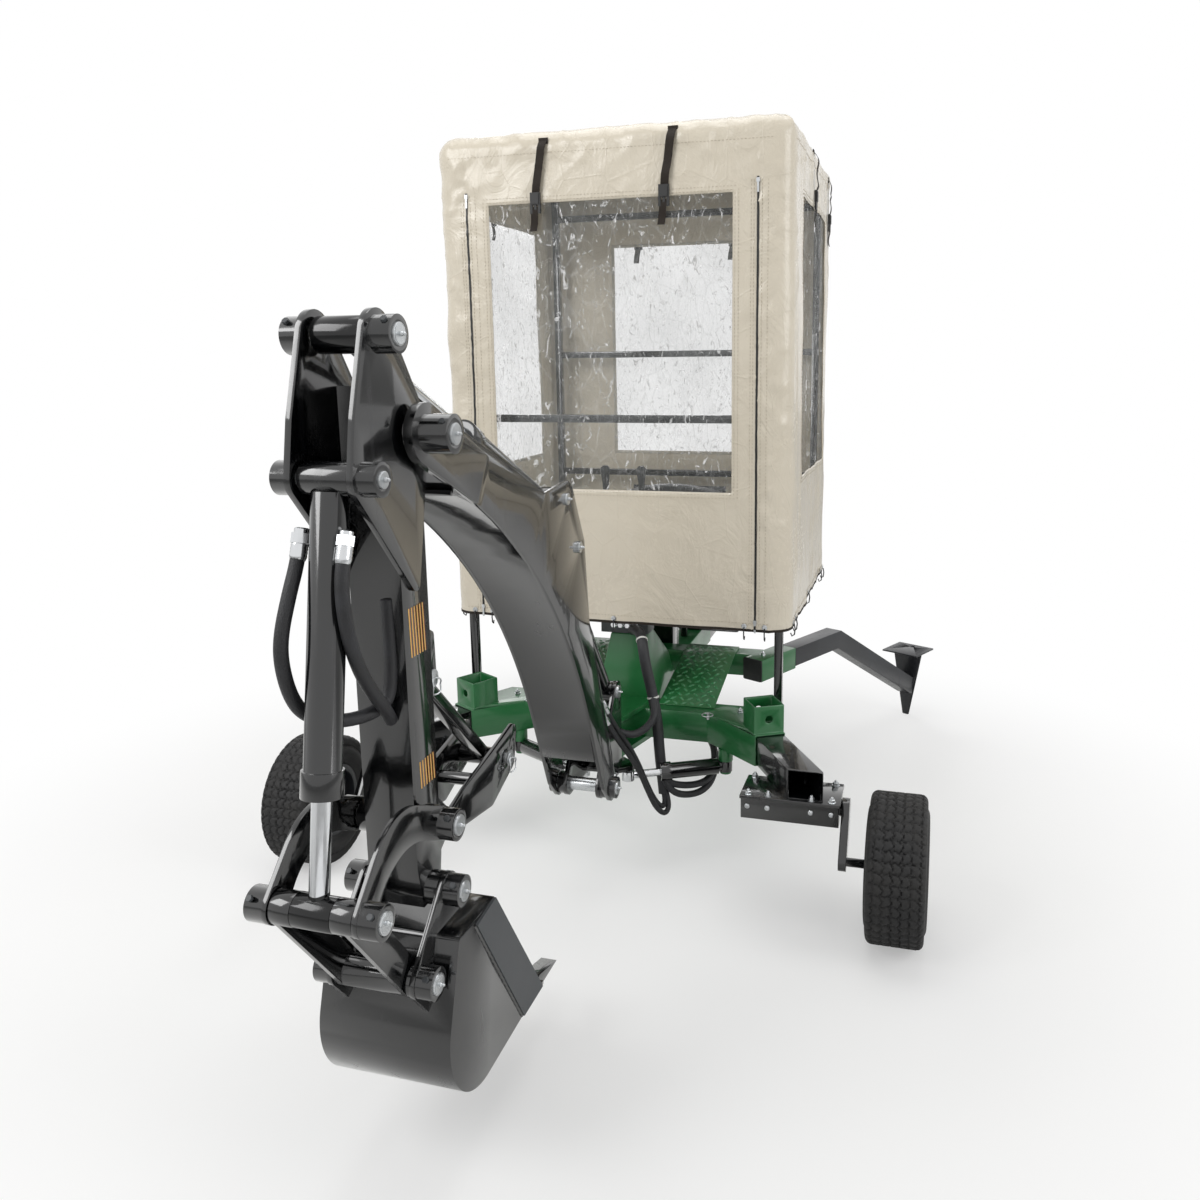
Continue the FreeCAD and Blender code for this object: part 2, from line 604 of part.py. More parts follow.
underside = archRadius + 0.5
boom.across([arcBand(archCentre, underside, underside + size.boomWeb, 17.5, 66.5)], "boomInner")
topPlate = [(-1232, 1352), (-1190, 1412), (-720, 1212), (-640, 1120)]
boom.across([polygon(strip(topPlate, size.boomWeb / 2))], "boomInner")
tipOutline = belt([(*elbow, 56), (-1150, 1345, 20), (-1110, 1400, 20)])
boom.both([tipOutline, circle(*elbow, pin)], "boomInner + boomPlate", "doubler")
elbowHalf = 150
boom.both(ring(elbow, 36, pin), "boomInner + boomPlate + doubler", f"{elbowHalf} - boomInner - boomPlate - doubler")
footHalf = 103
boom.both(ring(foot, 32, pin), "boomInner + boomPlate", f"{footHalf} - boomInner - boomPlate")

boomPins = Piece("boom_pins")
boomPins.across([circle(*elbow, pin)], f"{elbowHalf} + pinHead")
boomPins.across([circle(*foot, pin)], f"{footHalf} + pinHead")
boomPins.across([circle(*boomReach, slimPin)], "boomInner + boomPlate + pinHead")
stubs(boomPins, boomLift, slimPin, "boomInner", "boomInner + boomPlate + pinHead")
postPins = Piece("post_pin")
postPins.across([circle(*postPin, pin)], "postInner + postPlate + pinHead + 2")

# Dipper: box with head plates, guide pin tube and tip tube

dipper = Piece("dipper")
dipperFront = -1392
dipperBack = -1297
dipperSkin = [(-1375, 565), (-1309, 565), (dipperBack, 640), (dipperBack, 1480), (dipperFront, 1565), (dipperFront, 650)]
dipper.across([polygon(dipperSkin)], "dipperHalf")
wall = size.dipperWall
dipperCore = [(dipperFront + wall, 660), (dipperBack - wall, 660), (dipperBack - wall, 1477), (dipperFront + wall, 1551)]
dipper.pocket("YZ_Plane", [polygon(dipperCore)], "dipperHalf - dipperWall", "2 * dipperHalf - 2 * dipperWall")
headOutline = belt([(*crowd, 44), (-1470, 1500, 60), (*bucketBase, 38), (-1358, 1205, 14), (*elbow, 60)])
dipper.both([headOutline], "dipperHalf", "dipperPlate")
crowdHalf = 104
dipper.both(ring(crowd, 33, pin), "dipperHalf + dipperPlate", f"{crowdHalf} - dipperHalf - dipperPlate")
baseHalf = 98
dipper.both(ring(bucketBase, 30, slimPin), "dipperHalf + dipperPlate", f"{baseHalf} - dipperHalf - dipperPlate")
dipper.both(ring(elbow, 36), "dipperHalf + dipperPlate", "boomInner - dipperHalf - dipperPlate - 1")
for centre in (guidePin, tipPin):
    dipper.both(ring(centre, boss - 1), "dipperHalf - 1", "earInner - dipperHalf")
thumbPivot = (-1262, 690)
strutPivot = (-1268, 993)
thumbHole = 12.5
dipper.both([belt([(dipperBack - 1, 640, 0), (*thumbPivot, 24), (dipperBack - 1, 760, 0)]), circle(*thumbPivot, thumbHole)],
            "38", "12")
dipper.both([belt([(dipperBack - 1, 940, 0), (*strutPivot, 20), (-1262, 1075, 12), (dipperBack - 1, 1110, 0)]),
             circle(*strutPivot, thumbHole)], "26", "10")
for centre, radius in ((elbow, turning), (guidePin, pin), (tipPin, pin), (crowd, pin), (bucketBase, slimPin)):
    dipper.pocket("YZ_Plane", [circle(*centre, radius)], "200", "400")

earHalf = 123
dipperPins = Piece("dipper_pins")
stubs(dipperPins, crowd, pin, "dipperHalf", f"{crowdHalf} + pinHead")
dipperPins.across([circle(*bucketBase, slimPin)], f"{baseHalf} + pinHead")
for centre in (guidePin, tipPin):
    dipperPins.across([circle(*centre, pin)], f"{earHalf} + pinHead")

# Guide links from the dipper to the bucket cylinder's rod

guides = Piece("guide_links")
guideOutline = belt([(*guidePin, 32), (-1497, 702, 122), (*rodPin, 32), (-1486, 627, -122)])
guides.both([guideOutline, circle(*guidePin, turning), circle(*rodPin, pin)], "earInner + 1", "linkPlate")
linkHalf = 126
guides.both(ring(rodPin, 31, pin), "earInner + 1 + linkPlate", f"{linkHalf} - earInner - 1 - linkPlate")
guides.both(ring(guidePin, 31, turning), "earInner + 1 + linkPlate", f"{earHalf} - earInner - 1 - linkPlate")
linkPins = Piece("link_pins")
rodTube = 38
stubs(linkPins, rodPin, pin, f"{rodTube} + 1", f"{linkHalf} + pinHead")

# Bucket link between the guide links' pin and the bucket

coupler = Piece("bucket_link")
couplerOutline = belt([(*rodPin, 30), (*couplePin, 30)])
coupler.both([couplerOutline, circle(*rodPin, turning)], "coupleInner", "linkPlate")
coupler.both(ring(rodPin, 30, turning), "coupleInner + linkPlate", "earInner - coupleInner - linkPlate - 1")
coupler.both(ring(rodPin, 30, turning), f"{rodTube} + 1", f"coupleInner - {rodTube} - 1")
coupler.across(ring(couplePin, 30), "earInner - 1")

# Bucket

bucket = Piece("bucket")
lip = (-1035, 178)
mouthTop = (-1248, 530)
bucketTop = (-1395, 518)
drum = (-1310, 322)
drumRadius = 152
bucketOutline = belt([(*lip, 0), (*mouthTop, 0), (*bucketTop, 12), (*drum, drumRadius)])
bucket.across([bucketOutline], "bucketHalf")
wall = size.bucketWall
bucketCore = belt([(lip[0] + 40, lip[1] + 8.5, 0), (lip[0] + 60, lip[1] + 60, 0), (mouthTop[0] + 60, mouthTop[1] - wall, 0),
                   (*bucketTop, 12 - wall), (*drum, drumRadius - wall)])
bucket.pocket("YZ_Plane", [bucketCore], "bucketHalf - bucketWall", "2 * bucketHalf - 2 * bucketWall")
earOutline = belt([(*tipPin, 34), (*couplePin, 34), (-1436, 400, 10), (-1260, 505, 10)])
bucket.both([earOutline, circle(*tipPin, turning), circle(*couplePin, pin)], "earInner + 1", "linkPlate")
bucket.both(ring(tipPin, 31, turning), "earInner + 1 + linkPlate", f"{earHalf} - earInner - 1 - linkPlate")
bucket.both(ring(couplePin, 31, pin), "earInner + 1 + linkPlate", f"{earHalf} - earInner - 1 - linkPlate")
edgeOutline = polygon([(lip[0] - 60, lip[1] - 8), (lip[0] + 30, lip[1] - 6), (lip[0] + 30, lip[1] + 2), (lip[0] - 60, lip[1] + 4)])
bucket.across([edgeOutline], "bucketHalf")
toothOutline = polygon([(lip[0] - 30, lip[1] - 2), (lip[0] + 40, lip[1] - 14), (lip[0] + 135, lip[1] - 14),
                        (lip[0] + 30, lip[1] + 16), (lip[0] - 30, lip[1] + 14)])
for centre in (-112, 0, 112):
    bucket.pad("YZ_Plane", [toothOutline], str(centre - 20), "40")
bucketPins = Piece("bucket_pins")
stubs(bucketPins, couplePin, pin, "earInner + 1", f"{earHalf} + pinHead")

# Thumb behind the dipper with its strut

thumb = Piece("thumb")
thumbEye = (-985, 715)
thumbOutline = belt([(*thumbPivot, 26), (-1075, 655, 16), (-970, 704, 24), (-950, 764, 18), (-1060, 760, 0), (-1200, 735, 0)])
thumb.both([thumbOutline, circle(*thumbPivot, thumbHole), circle(*thumbEye, thumbHole)], "52", "linkPlate")
thumb.across(ring((-1095, 705), 14), "53")
strut = Piece("thumb_strut")
strut.across([polygon(strip([(-1257, 982), (-996, 726)], 14))], "13")
strut.across(ring(thumbEye, 20, thumbHole), "51.5")
strut.across(ring(strutPivot, 20, thumbHole), "25.5")
thumbPins = Piece("thumb_pins")
thumbPins.across([circle(*thumbPivot, thumbHole)], "70")
thumbPins.across([circle(*thumbEye, thumbHole)], "70")
thumbPins.across([circle(*strutPivot, thumbHole)], "42")


# Cylinders: Z runs along the stroke, from the base pivot to the rod's eye

def ram(row):
    """A barrel with its base eye, and a rod with its piston and its own eye."""
    if row.level is None:
        start = Vector(0, *row.base)
        reach = Vector(0, row.eye[0] - row.base[0], row.eye[1] - row.base[1])
        across = Vector(1, 0, 0)
    else:
        start = Vector(row.base[0], row.base[1], row.level)
        reach = Vector(row.eye[0] - row.base[0], row.eye[1] - row.base[1], 0)
        across = Vector(0, 0, 1)
    length = reach.Length
    along = Vector(reach).normalize()
    place = Placement(start, Rotation(across, along.cross(across), along, "ZXY"))
    gland = row.gland
    rodBore = row.rodRadius + size.runFit
    inner = row.barrelRadius - 6
    neck = min(row.barrelRadius, row.baseHalf - 1)
    shoulder = row.baseRadius + 6
    barrel = Piece(row.name + "_barrel", place)
    shell = [(0, row.baseRadius - 6), (neck, row.baseRadius - 6), (neck, shoulder), (row.barrelRadius, shoulder),
             (row.barrelRadius, row.barrel - gland),
             (row.barrelRadius + 4, row.barrel - gland), (row.barrelRadius + 4, row.barrel), (rodBore, row.barrel),
             (rodBore, row.barrel - gland), (inner, row.barrel - gland), (inner, shoulder + 6), (0, shoulder + 6)]
    barrel.turning("XZ_Plane", [polygon(shell)])
    barrel.pad("YZ_Plane", [circle(0, 0, row.baseRadius)], str(-row.baseHalf), str(2 * row.baseHalf))
    barrel.pocket("YZ_Plane", [circle(0, 0, row.pin + size.runFit)], str(row.baseHalf + 5), str(2 * row.baseHalf + 10))
    rod = Piece(row.name + "_rod", place)
    piston = inner - size.runFit
    pistonTop = row.barrel - gland - row.travel - 5
    rodOutline = [(0, pistonTop - 20), (piston, pistonTop - 20), (piston, pistonTop), (row.rodRadius, pistonTop),
                  (row.rodRadius, length - 10), (0, length - 10)]
    rod.turning("XZ_Plane", [polygon(rodOutline)])
    rod.pad("YZ_Plane", [circle(0, length, row.eyeRadius)], str(-row.eyeHalf), str(2 * row.eyeHalf))


rams = [
    # name, base, eye, level, barrel, gland, travel out, barrel and rod radius, base radius and half, eye radius and half, pin
    ("boom_cylinder", postPin, boomLift, None, 500, 46, 250, 36, 20, 32, size.postInner - 3, 30, size.boomInner - 4, pin),
    ("dipper_cylinder", boomReach, crowd, None, 440, 46, 60, 32, 17.5, 30, size.boomInner - 4, 32, size.dipperHalf - 8, slimPin),
    ("bucket_cylinder", bucketBase, rodPin, None, 535, 46, 160, 32, 17.5, 29, size.dipperHalf - 6, 30, rodTube, slimPin),
    ("swing_cylinder_left", (-anchor[0], anchor[1]), (-lugX, lugY), swingLevel, 220, 35, 60, 26, 12.5, 22, 18, 20, 15, size.swingPin),
    ("swing_cylinder_right", anchor, (lugX, lugY), swingLevel, 220, 35, 60, 26, 12.5, 22, 18, 20, 15, size.swingPin),
]
columns = ("name base eye level barrel gland travel barrelRadius rodRadius "
           "baseRadius baseHalf eyeRadius eyeHalf pin").split()
for row in rams:
    ram(SimpleNamespace(**dict(zip(columns, row))))

# Cab frame of square tube: two sides and the bars across

bar = size.frameBar / 2
inset = (size.coverRound - size.coverWall) * (1 - math.sqrt(0.5)) + size.seatGap
ringZ = size.coverTop - size.coverWall - inset - bar
sillZ = size.coverBase + 40
for sign, word in ((-1, "left"), (1, "right")):
    side = Piece("cab_frame_" + word)
    for y, low in ((size.postFront, 400), (size.postRear, sillZ - bar)):
        side.pad("XY_Plane", [square(bar, sign * size.postX, y)], str(low), f"{ringZ - bar - low}")
    side.pad("XZ_Plane", [square(bar, sign * size.postX, sillZ)], str(-size.postRear), f"{size.postRear - size.postFront}")
    foothold = [onWing(-62, half), onWing(-30, half), onWing(-30, half + 10), onWing(-62, half + 10)]
    side.pad("XY_Plane", [polygon(foothold[::-1] if sign > 0 else mirrored(foothold[::-1]))], "405", "45")
topRing = Piece("cab_top_ring")
corner = size.coverRound + 2
loops = []
for depth in (0, size.frameBar):
    bend = corner - size.coverWall - inset - depth
    reach = size.coverHalf - corner
    near = size.coverFront + corner
    far = size.coverFront + size.coverDepth - corner
    loops.append(belt([(-reach, near, bend), (reach, near, bend), (reach, far, bend), (-reach, far, bend)]))
topRing.pad("XY_Plane", loops, str(ringZ - bar), "frameBar")
cabFront = Piece("cab_bars_front")
cabRear = Piece("cab_bars_rear")
sightBar = 1420
rearHeights = (sillZ, sillZ + 341, sillZ + 819, size.coverTop - 136)
for piece, y, heights in ((cabFront, size.postFront, (sightBar,)), (cabRear, size.postRear, rearHeights)):
    for height in heights:
        piece.pad("YZ_Plane", [square(bar, y, height)], "-(postX) + frameBar / 2", "2 * postX - frameBar")
cabRear.pad("XY_Plane", [square(bar, 0, size.postRear)], "frameBase + frameTube", f"{sillZ - beamTop}")

# Cab cover: front and rear between the zips, sides with the corners, roof

zipX = 460
roofBase = size.coverTop - 70
wallHeight = f"{roofBase} - coverBase"
coverBack = size.coverFront + size.coverDepth


def panel(word, y, half, low, high):
    cover = Piece("cover_" + word)
    cover.pad("XZ_Plane", [box(-zipX, size.coverBase, zipX, roofBase), box(-half, low, half, high)], str(-y - size.coverWall),
              "coverWall")


panel("front", size.coverFront, size.windowHalf, size.windowLow, size.windowHigh)
sideLow = size.coverBase + size.rearLow
rearHigh = size.coverTop - size.rearDrop
sideHigh = size.coverTop - size.sideDrop
panel("rear", coverBack - size.coverWall, size.rearHalf, sideLow, rearHigh)
for sign, word in ((-1, "left"), (1, "right")):
    cover = Piece("cover_" + word)
    outer = size.coverHalf
    inner = outer - size.coverWall
    near = size.coverFront
    skin = [(zipX, near, 0), (outer - corner, near + corner, corner), (outer - corner, coverBack - corner, corner),
            (zipX, coverBack, 0), (zipX, coverBack - size.coverWall, 0),
            (outer - corner, coverBack - corner, size.coverWall - corner),
            (outer - corner, near + corner, size.coverWall - corner), (zipX, near + size.coverWall, 0)]
    cover.pad("XY_Plane", [belt(skin if sign > 0 else mirrored(skin))], "coverBase", wallHeight)
    opening = box(near + size.sideWindowNear, sideLow, near + size.sideWindowFar, sideHigh)
    cover.pocket("YZ_Plane", [opening], "coverHalf + 5" if sign > 0 else "20 - coverHalf", "25")

roof = Piece("cover_roof")
roofTop = size.coverTop - size.coverRound
outline = [(-outer + corner, near + corner, corner), (outer - corner, near + corner, corner),
           (outer - corner, coverBack - corner, corner), (-outer + corner, coverBack - corner, corner)]
block = roof.pad("XY_Plane", [belt(outline)], str(roofBase), "70")
doc.recompute()
topEdges = [f"Edge{number}" for number, edge in enumerate(block.Shape.Edges, 1)
            if edge.BoundBox.ZMin > size.coverTop - 1]
rounding = roof.body.newObject("PartDesign::Fillet", "rounding")
rounding.Base = (block, topEdges)
bind(rounding, "Radius", "coverRound")
doc.recompute()
underFace = [f"Face{number}" for number, face in enumerate(rounding.Shape.Faces, 1)
             if face.BoundBox.ZMax < roofBase + 1]
shell = roof.body.newObject("PartDesign::Thickness", "shell")
shell.Base = (rounding, underFace)
bind(shell, "Value", "coverWall")
shell.Reversed = True
shell.Mode = 0
shell.Join = 0

windows = Piece("windows")
lap = size.paneLap
for y, half, low, high in ((size.coverFront + size.coverWall, size.windowHalf, size.windowLow, size.windowHigh),
                           (coverBack - size.coverWall - size.pane, size.rearHalf, sideLow, rearHigh)):
    windows.pad("XZ_Plane", [box(-half - lap, low - lap, half + lap, high + lap)], str(-y - size.pane), "pane")
for start in ("coverHalf - coverWall - pane", "coverWall - coverHalf"):
    pane = box(near + size.sideWindowNear - lap, sideLow - lap, near + size.sideWindowFar + lap, sideHigh + lap)
    windows.pad("YZ_Plane", [pane], start, "pane")

# Seat on its pedestal, control valve with its levers

seat = Piece("seat")
seatHalf = 205
seatBase = beamTop + 246
seatOutline = belt([(450, seatBase + 38, 38), (800, seatBase + 38, 38), (862, 1095, 30), (790, 1105, 20),
                    (735, seatBase + 96, -15), (450, seatBase + 84, 6)])
seat.pad("YZ_Plane", [seatOutline], str(-seatHalf), str(2 * seatHalf))
pedestal = Piece("seat_pedestal")
pedestal.pad("XY_Plane", [square(45, 0, 640)], "frameBase + frameTube", "230")
pedestal.pad("XY_Plane", [box(-150, 480, 150, 780)], "frameBase + frameTube + 229.7", "16")
valve = Piece("control_valve")
valve.pad("XY_Plane", [box(-95, 160, 70, 240)], str(consoleTop), "80")
for x in (-36, -12, 12, 36):
    valve.pad("XZ_Plane", [circle(x, consoleTop + 40, 10)], "-160", "30")
levers = Piece("levers")
for x in (-75, 50):
    bend = consoleTop + 110
    levers.pad("YZ_Plane", [polygon(strip([(200, consoleTop + 80), (200, bend), (178, 1180)], 6))], str(x - 6), "12")
    levers.pad("YZ_Plane", [belt([(177, 1185, 12), (174, 1245, 18)])], str(x - 15), "30")
power = Piece("power_unit")
powerNear = 1100
power.pad("XY_Plane", [box(-190, powerNear, 190, powerNear + 330)], "frameBase + frameTube", "300")
power.pad("XY_Plane", [box(-210, powerNear - 40, 210, powerNear + 350)], "frameBase + frameTube", "12")

# Everything takes its place with the middle of the length at Y 0

doc.recompute()
shift = Placement(Vector(0, -size.middleShift, 0), Rotation())
for body in pieces:
    body.Placement = shift * places[body.Label]
doc.recompute()
for thing in doc.Objects:
    if "Invalid" in thing.State or "Error" in thing.State:
        raise ValueError(thing.Label + " failed to build")
os.makedirs("parts", exist_ok=True)
for body in pieces:
    if body.Shape.isNull() or not body.Shape.isValid():
        raise ValueError(body.Label + " is not a valid solid")
for body in pieces:
    body.Shape.exportStep(f"parts/{body.Label}.step")
    print(f"{body.Label:28s} solids {len(body.Shape.Solids)}  volume {body.Shape.Volume / 1000:9.1f} cm3")
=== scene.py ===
import json
import math
import random

import bmesh
import bpy
from mathutils import Matrix, Vector, noise


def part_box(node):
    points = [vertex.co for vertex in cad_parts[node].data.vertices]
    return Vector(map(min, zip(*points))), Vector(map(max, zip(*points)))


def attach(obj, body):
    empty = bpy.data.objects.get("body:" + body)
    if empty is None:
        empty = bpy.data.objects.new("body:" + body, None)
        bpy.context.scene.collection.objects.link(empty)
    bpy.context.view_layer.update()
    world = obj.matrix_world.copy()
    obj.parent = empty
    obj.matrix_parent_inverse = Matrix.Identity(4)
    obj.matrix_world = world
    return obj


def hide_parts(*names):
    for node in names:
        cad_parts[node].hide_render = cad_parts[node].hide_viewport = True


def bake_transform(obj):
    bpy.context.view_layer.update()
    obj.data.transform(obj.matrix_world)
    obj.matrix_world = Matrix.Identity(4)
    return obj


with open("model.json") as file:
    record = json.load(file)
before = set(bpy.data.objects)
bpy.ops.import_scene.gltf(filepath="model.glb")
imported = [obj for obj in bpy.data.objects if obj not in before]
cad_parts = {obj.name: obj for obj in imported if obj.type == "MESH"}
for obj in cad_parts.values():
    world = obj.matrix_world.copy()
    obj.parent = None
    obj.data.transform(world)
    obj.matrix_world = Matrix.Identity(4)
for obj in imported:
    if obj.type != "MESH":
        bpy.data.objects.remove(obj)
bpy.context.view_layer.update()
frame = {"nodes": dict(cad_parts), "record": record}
scene = bpy.context.scene
nodes = frame["nodes"]
middleShift = 0.1575  # the source's own origin lies this far in front of the frame's
random.seed(11)


def at(x, y, z):
    # a place given in the source's own layout, in millimetres, as a place in the frame
    return Vector((x / 1000, y / 1000 - middleShift, z / 1000))


def paint(code):
    # a screen colour as the numbers that the shaders work with
    parts = [int(code[i:i + 2], 16) / 255 for i in (1, 3, 5)]
    return tuple(c / 12.92 if c <= 0.04045 else ((c + 0.055) / 1.055) ** 2.4 for c in parts)


# Camera

cameraSet = {"place": (0.9611, -3.1065, 1.606), "turn": 15.77, "down": 10.23, "roll": -0.66,
             "lens": 29.7075, "shift": (-0.04205, -0.05197)}


def makeCamera(values):
    data = bpy.data.cameras.new("photoCamera")
    data.sensor_width = 36
    data.lens = values["lens"]
    data.shift_x, data.shift_y = values["shift"]
    data.clip_end = 60
    camera = bpy.data.objects.new("photoCamera", data)
    scene.collection.objects.link(camera)
    turn = Matrix.Rotation(math.radians(values["turn"]), 4, "Z")
    tilt = Matrix.Rotation(math.radians(90 - values["down"]), 4, "X")
    roll = Matrix.Rotation(math.radians(values["roll"]), 4, "Z")
    camera.matrix_world = Matrix.Translation(values["place"]) @ turn @ tilt @ roll
    scene.camera = camera


makeCamera(cameraSet)
print("camera set")

# Finishes


class Value:
    # one output of a shader node, with arithmetic that adds Math nodes
    def __init__(self, finish, socket):
        self.finish = finish
        self.socket = socket

    def work(self, operation, *others):
        sockets = dict(enumerate((self, *others)))
        return self.finish.node("ShaderNodeMath", {"operation": operation}, sockets)

    def reflected(self, operation, other):
        return self.finish.node("ShaderNodeMath", {"operation": operation}, {0: other, 1: self})

    def __add__(self, other):
        return self.work("ADD", other)

    def __sub__(self, other):
        return self.work("SUBTRACT", other)

    def __mul__(self, other):
        return self.work("MULTIPLY", other)

    def __pow__(self, other):
        return self.work("POWER", other)

    def __rsub__(self, other):
        return self.reflected("SUBTRACT", other)

    __radd__ = __add__
    __rmul__ = __mul__

    def above(self, edge, soft=0.05):
        # 0 below the edge, 1 above it, with a soft step between
        return self.finish.node("ShaderNodeMapRange", {"interpolation_type": "SMOOTHSTEP"},
                                {0: self, 1: edge - soft, 2: edge + soft, 3: 0.0, 4: 1.0})


class Finish:
    # a material built round one Principled shader
    def __init__(self, name, **constants):
        self.material = bpy.data.materials.new(name)
        self.material.use_nodes = True
        self.tree = self.material.node_tree
        self.shader = self.tree.nodes["Principled BSDF"]
        self.place = self.node("ShaderNodeTexCoord", {}, {}, "Object")
        for socket, value in constants.items():
            self.feed(socket, value)

    def join(self, socket, value):
        if isinstance(value, Value):
            self.tree.links.new(value.socket, socket)
        elif socket.type == "RGBA" and len(value) == 3:
            socket.default_value = (*value, 1)
        else:
            socket.default_value = value

    def feed(self, socket, value):
        self.join(self.shader.inputs[socket.replace("_", " ")], value)

    def node(self, kind, settings, sockets, output=0):
        made = self.tree.nodes.new(kind)
        for key, value in settings.items():
            if key == "stops":
                ramp = made.color_ramp.elements
                while len(ramp) < len(value):
                    ramp.new(0.5)
                for stop, (position, colour) in zip(ramp, value):
                    stop.position = position
                    stop.color = (*colour, 1)
            else:
                setattr(made, key, value)
        for key, value in sockets.items():
            self.join(made.inputs[key], value)
        return Value(self, made.outputs[output])

    def scaled(self, stretch):
        return self.node("ShaderNodeVectorMath", {"operation": "MULTIPLY"}, {0: self.place, 1: stretch})

    def cloud(self, scale, detail=3, rough=0.55, stretch=None, twist=0.0):
        place = self.scaled(stretch) if stretch else self.place
        return self.node("ShaderNodeTexNoise", {}, {"Vector": place, "Scale": scale, "Detail": detail,
                                                    "Roughness": rough, "Distortion": twist})

    def cells(self, scale, feature="F1", stretch=None):
        place = self.scaled(stretch) if stretch else self.place
        return self.node("ShaderNodeTexVoronoi", {"feature": feature}, {"Vector": place, "Scale": scale})

    def mix(self, share, first, second):
        return self.node("ShaderNodeMix", {"data_type": "RGBA"}, {0: share, 6: first, 7: second}, 2)

    def bump(self, height, strength, distance=0.001):
        bumped = self.node("ShaderNodeBump", {},
                           {"Height": height, "Strength": strength, "Distance": distance})
        self.feed("Normal", bumped)


def enamel(name, colour, dusty, rough, coat, streaks=0.5):
    # sprayed paint: orange peel, faint dust, fine scratches
    made = Finish(name, Coat_Weight=coat, Coat_Roughness=0.06, IOR=1.5)
    dust = made.cloud(3.2, 5, 0.6).above(0.56, 0.16)
    scratch = made.cloud(34, 2, 0.5, (1, 1, 0.06), 0.4).above(0.66, 0.03) * streaks
    speck = made.cells(260).above(0.93, 0.02)
    made.feed("Base Color", made.mix(dust * 0.3 + scratch * 0.4 + speck * 0.1, colour, dusty))
    made.feed("Roughness", dust * 0.14 + scratch * 0.2 + rough)
    made.bump(made.cloud(190, 2) + scratch * 0.6, 0.09, 0.0006)
    return made


def plated(name, colour, rough, spots):
    made = Finish(name, Metallic=1.0)
    stain = made.cloud(26, 4).above(0.55, 0.14)
    made.feed("Base Color", made.mix(stain * spots, colour, tuple(c * 0.55 for c in colour)))
    made.feed("Roughness", stain * 0.16 + made.cloud(240, 2) * 0.1 + rough)
    made.bump(made.cloud(420, 2), 0.12, 0.0003)
    return made


def turfRubber():
    made = Finish("turfRubber", Specular_IOR_Level=0.4)
    bloom = made.cloud(9, 5, 0.6).above(0.5, 0.2)
    made.feed("Base Color", made.mix(bloom * 0.7, paint("#1a1a1b"), paint("#333231")))
    made.feed("Roughness", bloom * 0.16 + 0.58)
    made.bump(made.cloud(300, 3), 0.3, 0.0006)
    return made


def coverVinyl():
    # coated cloth: glossy, with a fine weave under the coat and creases from its folding, whose lines are
    # also painted slightly darker as painted shade
    made = Finish("coverVinyl", Coat_Weight=0.35, Coat_Roughness=0.12, IOR=1.45)
    weave = made.cells(900)
    crease = made.cells(7, "DISTANCE_TO_EDGE", (1.3, 1.3, 0.8))
    foldAndPaintedShade = 1 - crease.above(0.012, 0.012)
    cloud = made.cloud(2.6, 4)
    # painted shade: the crease lines darken the colour a little, besides shaping the bump
    made.feed("Base Color", made.mix(cloud.above(0.5, 0.3) * 0.45 + foldAndPaintedShade * 0.07, paint("#ded5c3"),
                                     paint("#cfc5b2")))
    made.feed("Roughness", cloud * 0.14 + made.cloud(60, 3) * 0.08 + 0.15)
    soft = made.cloud(8, 5, 0.62, (1, 1, 0.75), 1.4)
    made.bump(soft * 4 + foldAndPaintedShade * 0.25 + weave * 0.05, 0.5, 0.0036)
    return made


def windowFilm():
    # clear soft film, crinkled; the pale lines along the crinkles are partly milky creases and partly
    # painted highlight, and the small white spots are painted glints
    made = Finish("windowFilm", IOR=1.45, Specular_IOR_Level=0.9)
    crackle = made.cells(15, "DISTANCE_TO_EDGE", (1.6, 1.6, 0.7))
    line = 1 - crackle.above(0.03, 0.03)
    paintedGlintAndCrinkle = made.cloud(30, 4, 0.72, (1, 1, 0.5), 2.2).above(0.615, 0.03)
    haze = made.cloud(3.4, 4).above(0.55, 0.2)
    # painted highlight: the white spots and, more faintly, the crinkle lines turn the colour white and
    # raise the alpha, standing in for glints on the film
    made.feed("Base Color", made.mix(paintedGlintAndCrinkle + line * 0.3, paint("#b9bcbc"), (1.0, 1.0, 1.0)))
    made.feed("Alpha", haze * 0.07 + line * 0.05 + paintedGlintAndCrinkle * 0.42 + 0.07)
    made.feed("Roughness", haze * 0.08 + 0.04)
    made.bump(made.cloud(15, 4, 0.6, (1, 1, 0.5), 1.2) + paintedGlintAndCrinkle * 0.4, 0.6, 0.006)
    return made


def seatVinyl():
    made = Finish("seatVinyl", Specular_IOR_Level=0.5)
    grain = made.cells(420, "DISTANCE_TO_EDGE")
    wear = made.cloud(8, 4).above(0.55, 0.15)
    made.feed("Base Color", made.mix(wear * 0.5, paint("#17181a"), paint("#2a2b2d")))
    made.feed("Roughness", wear * 0.12 + 0.38)
    made.bump(grain, 0.35, 0.0006)
    return made


def moulded(name, colour, rough):
    made = Finish(name)
    haze = made.cloud(14, 4).above(0.5, 0.2)
    made.feed("Base Color", made.mix(haze * 0.5, colour, tuple(c * 1.7 + 0.01 for c in colour)))
    made.feed("Roughness", haze * 0.1 + rough)
    made.bump(made.cloud(520, 2), 0.25, 0.0003)
    return made


def webbing():
    made = Finish("webbing", Specular_IOR_Level=0.3)
    twill = made.node("ShaderNodeTexWave", {"bands_direction": "DIAGONAL"},
                      {"Vector": made.place, "Scale": 380.0, "Distortion": 0.4})
    fuzz = made.cloud(200, 3)
    made.feed("Base Color", made.mix(twill * 0.5 + fuzz * 0.2, paint("#18130f"), paint("#3c332b")))
    made.feed("Roughness", fuzz * 0.15 + 0.62)
    made.bump(twill, 0.5, 0.0005)
    return made


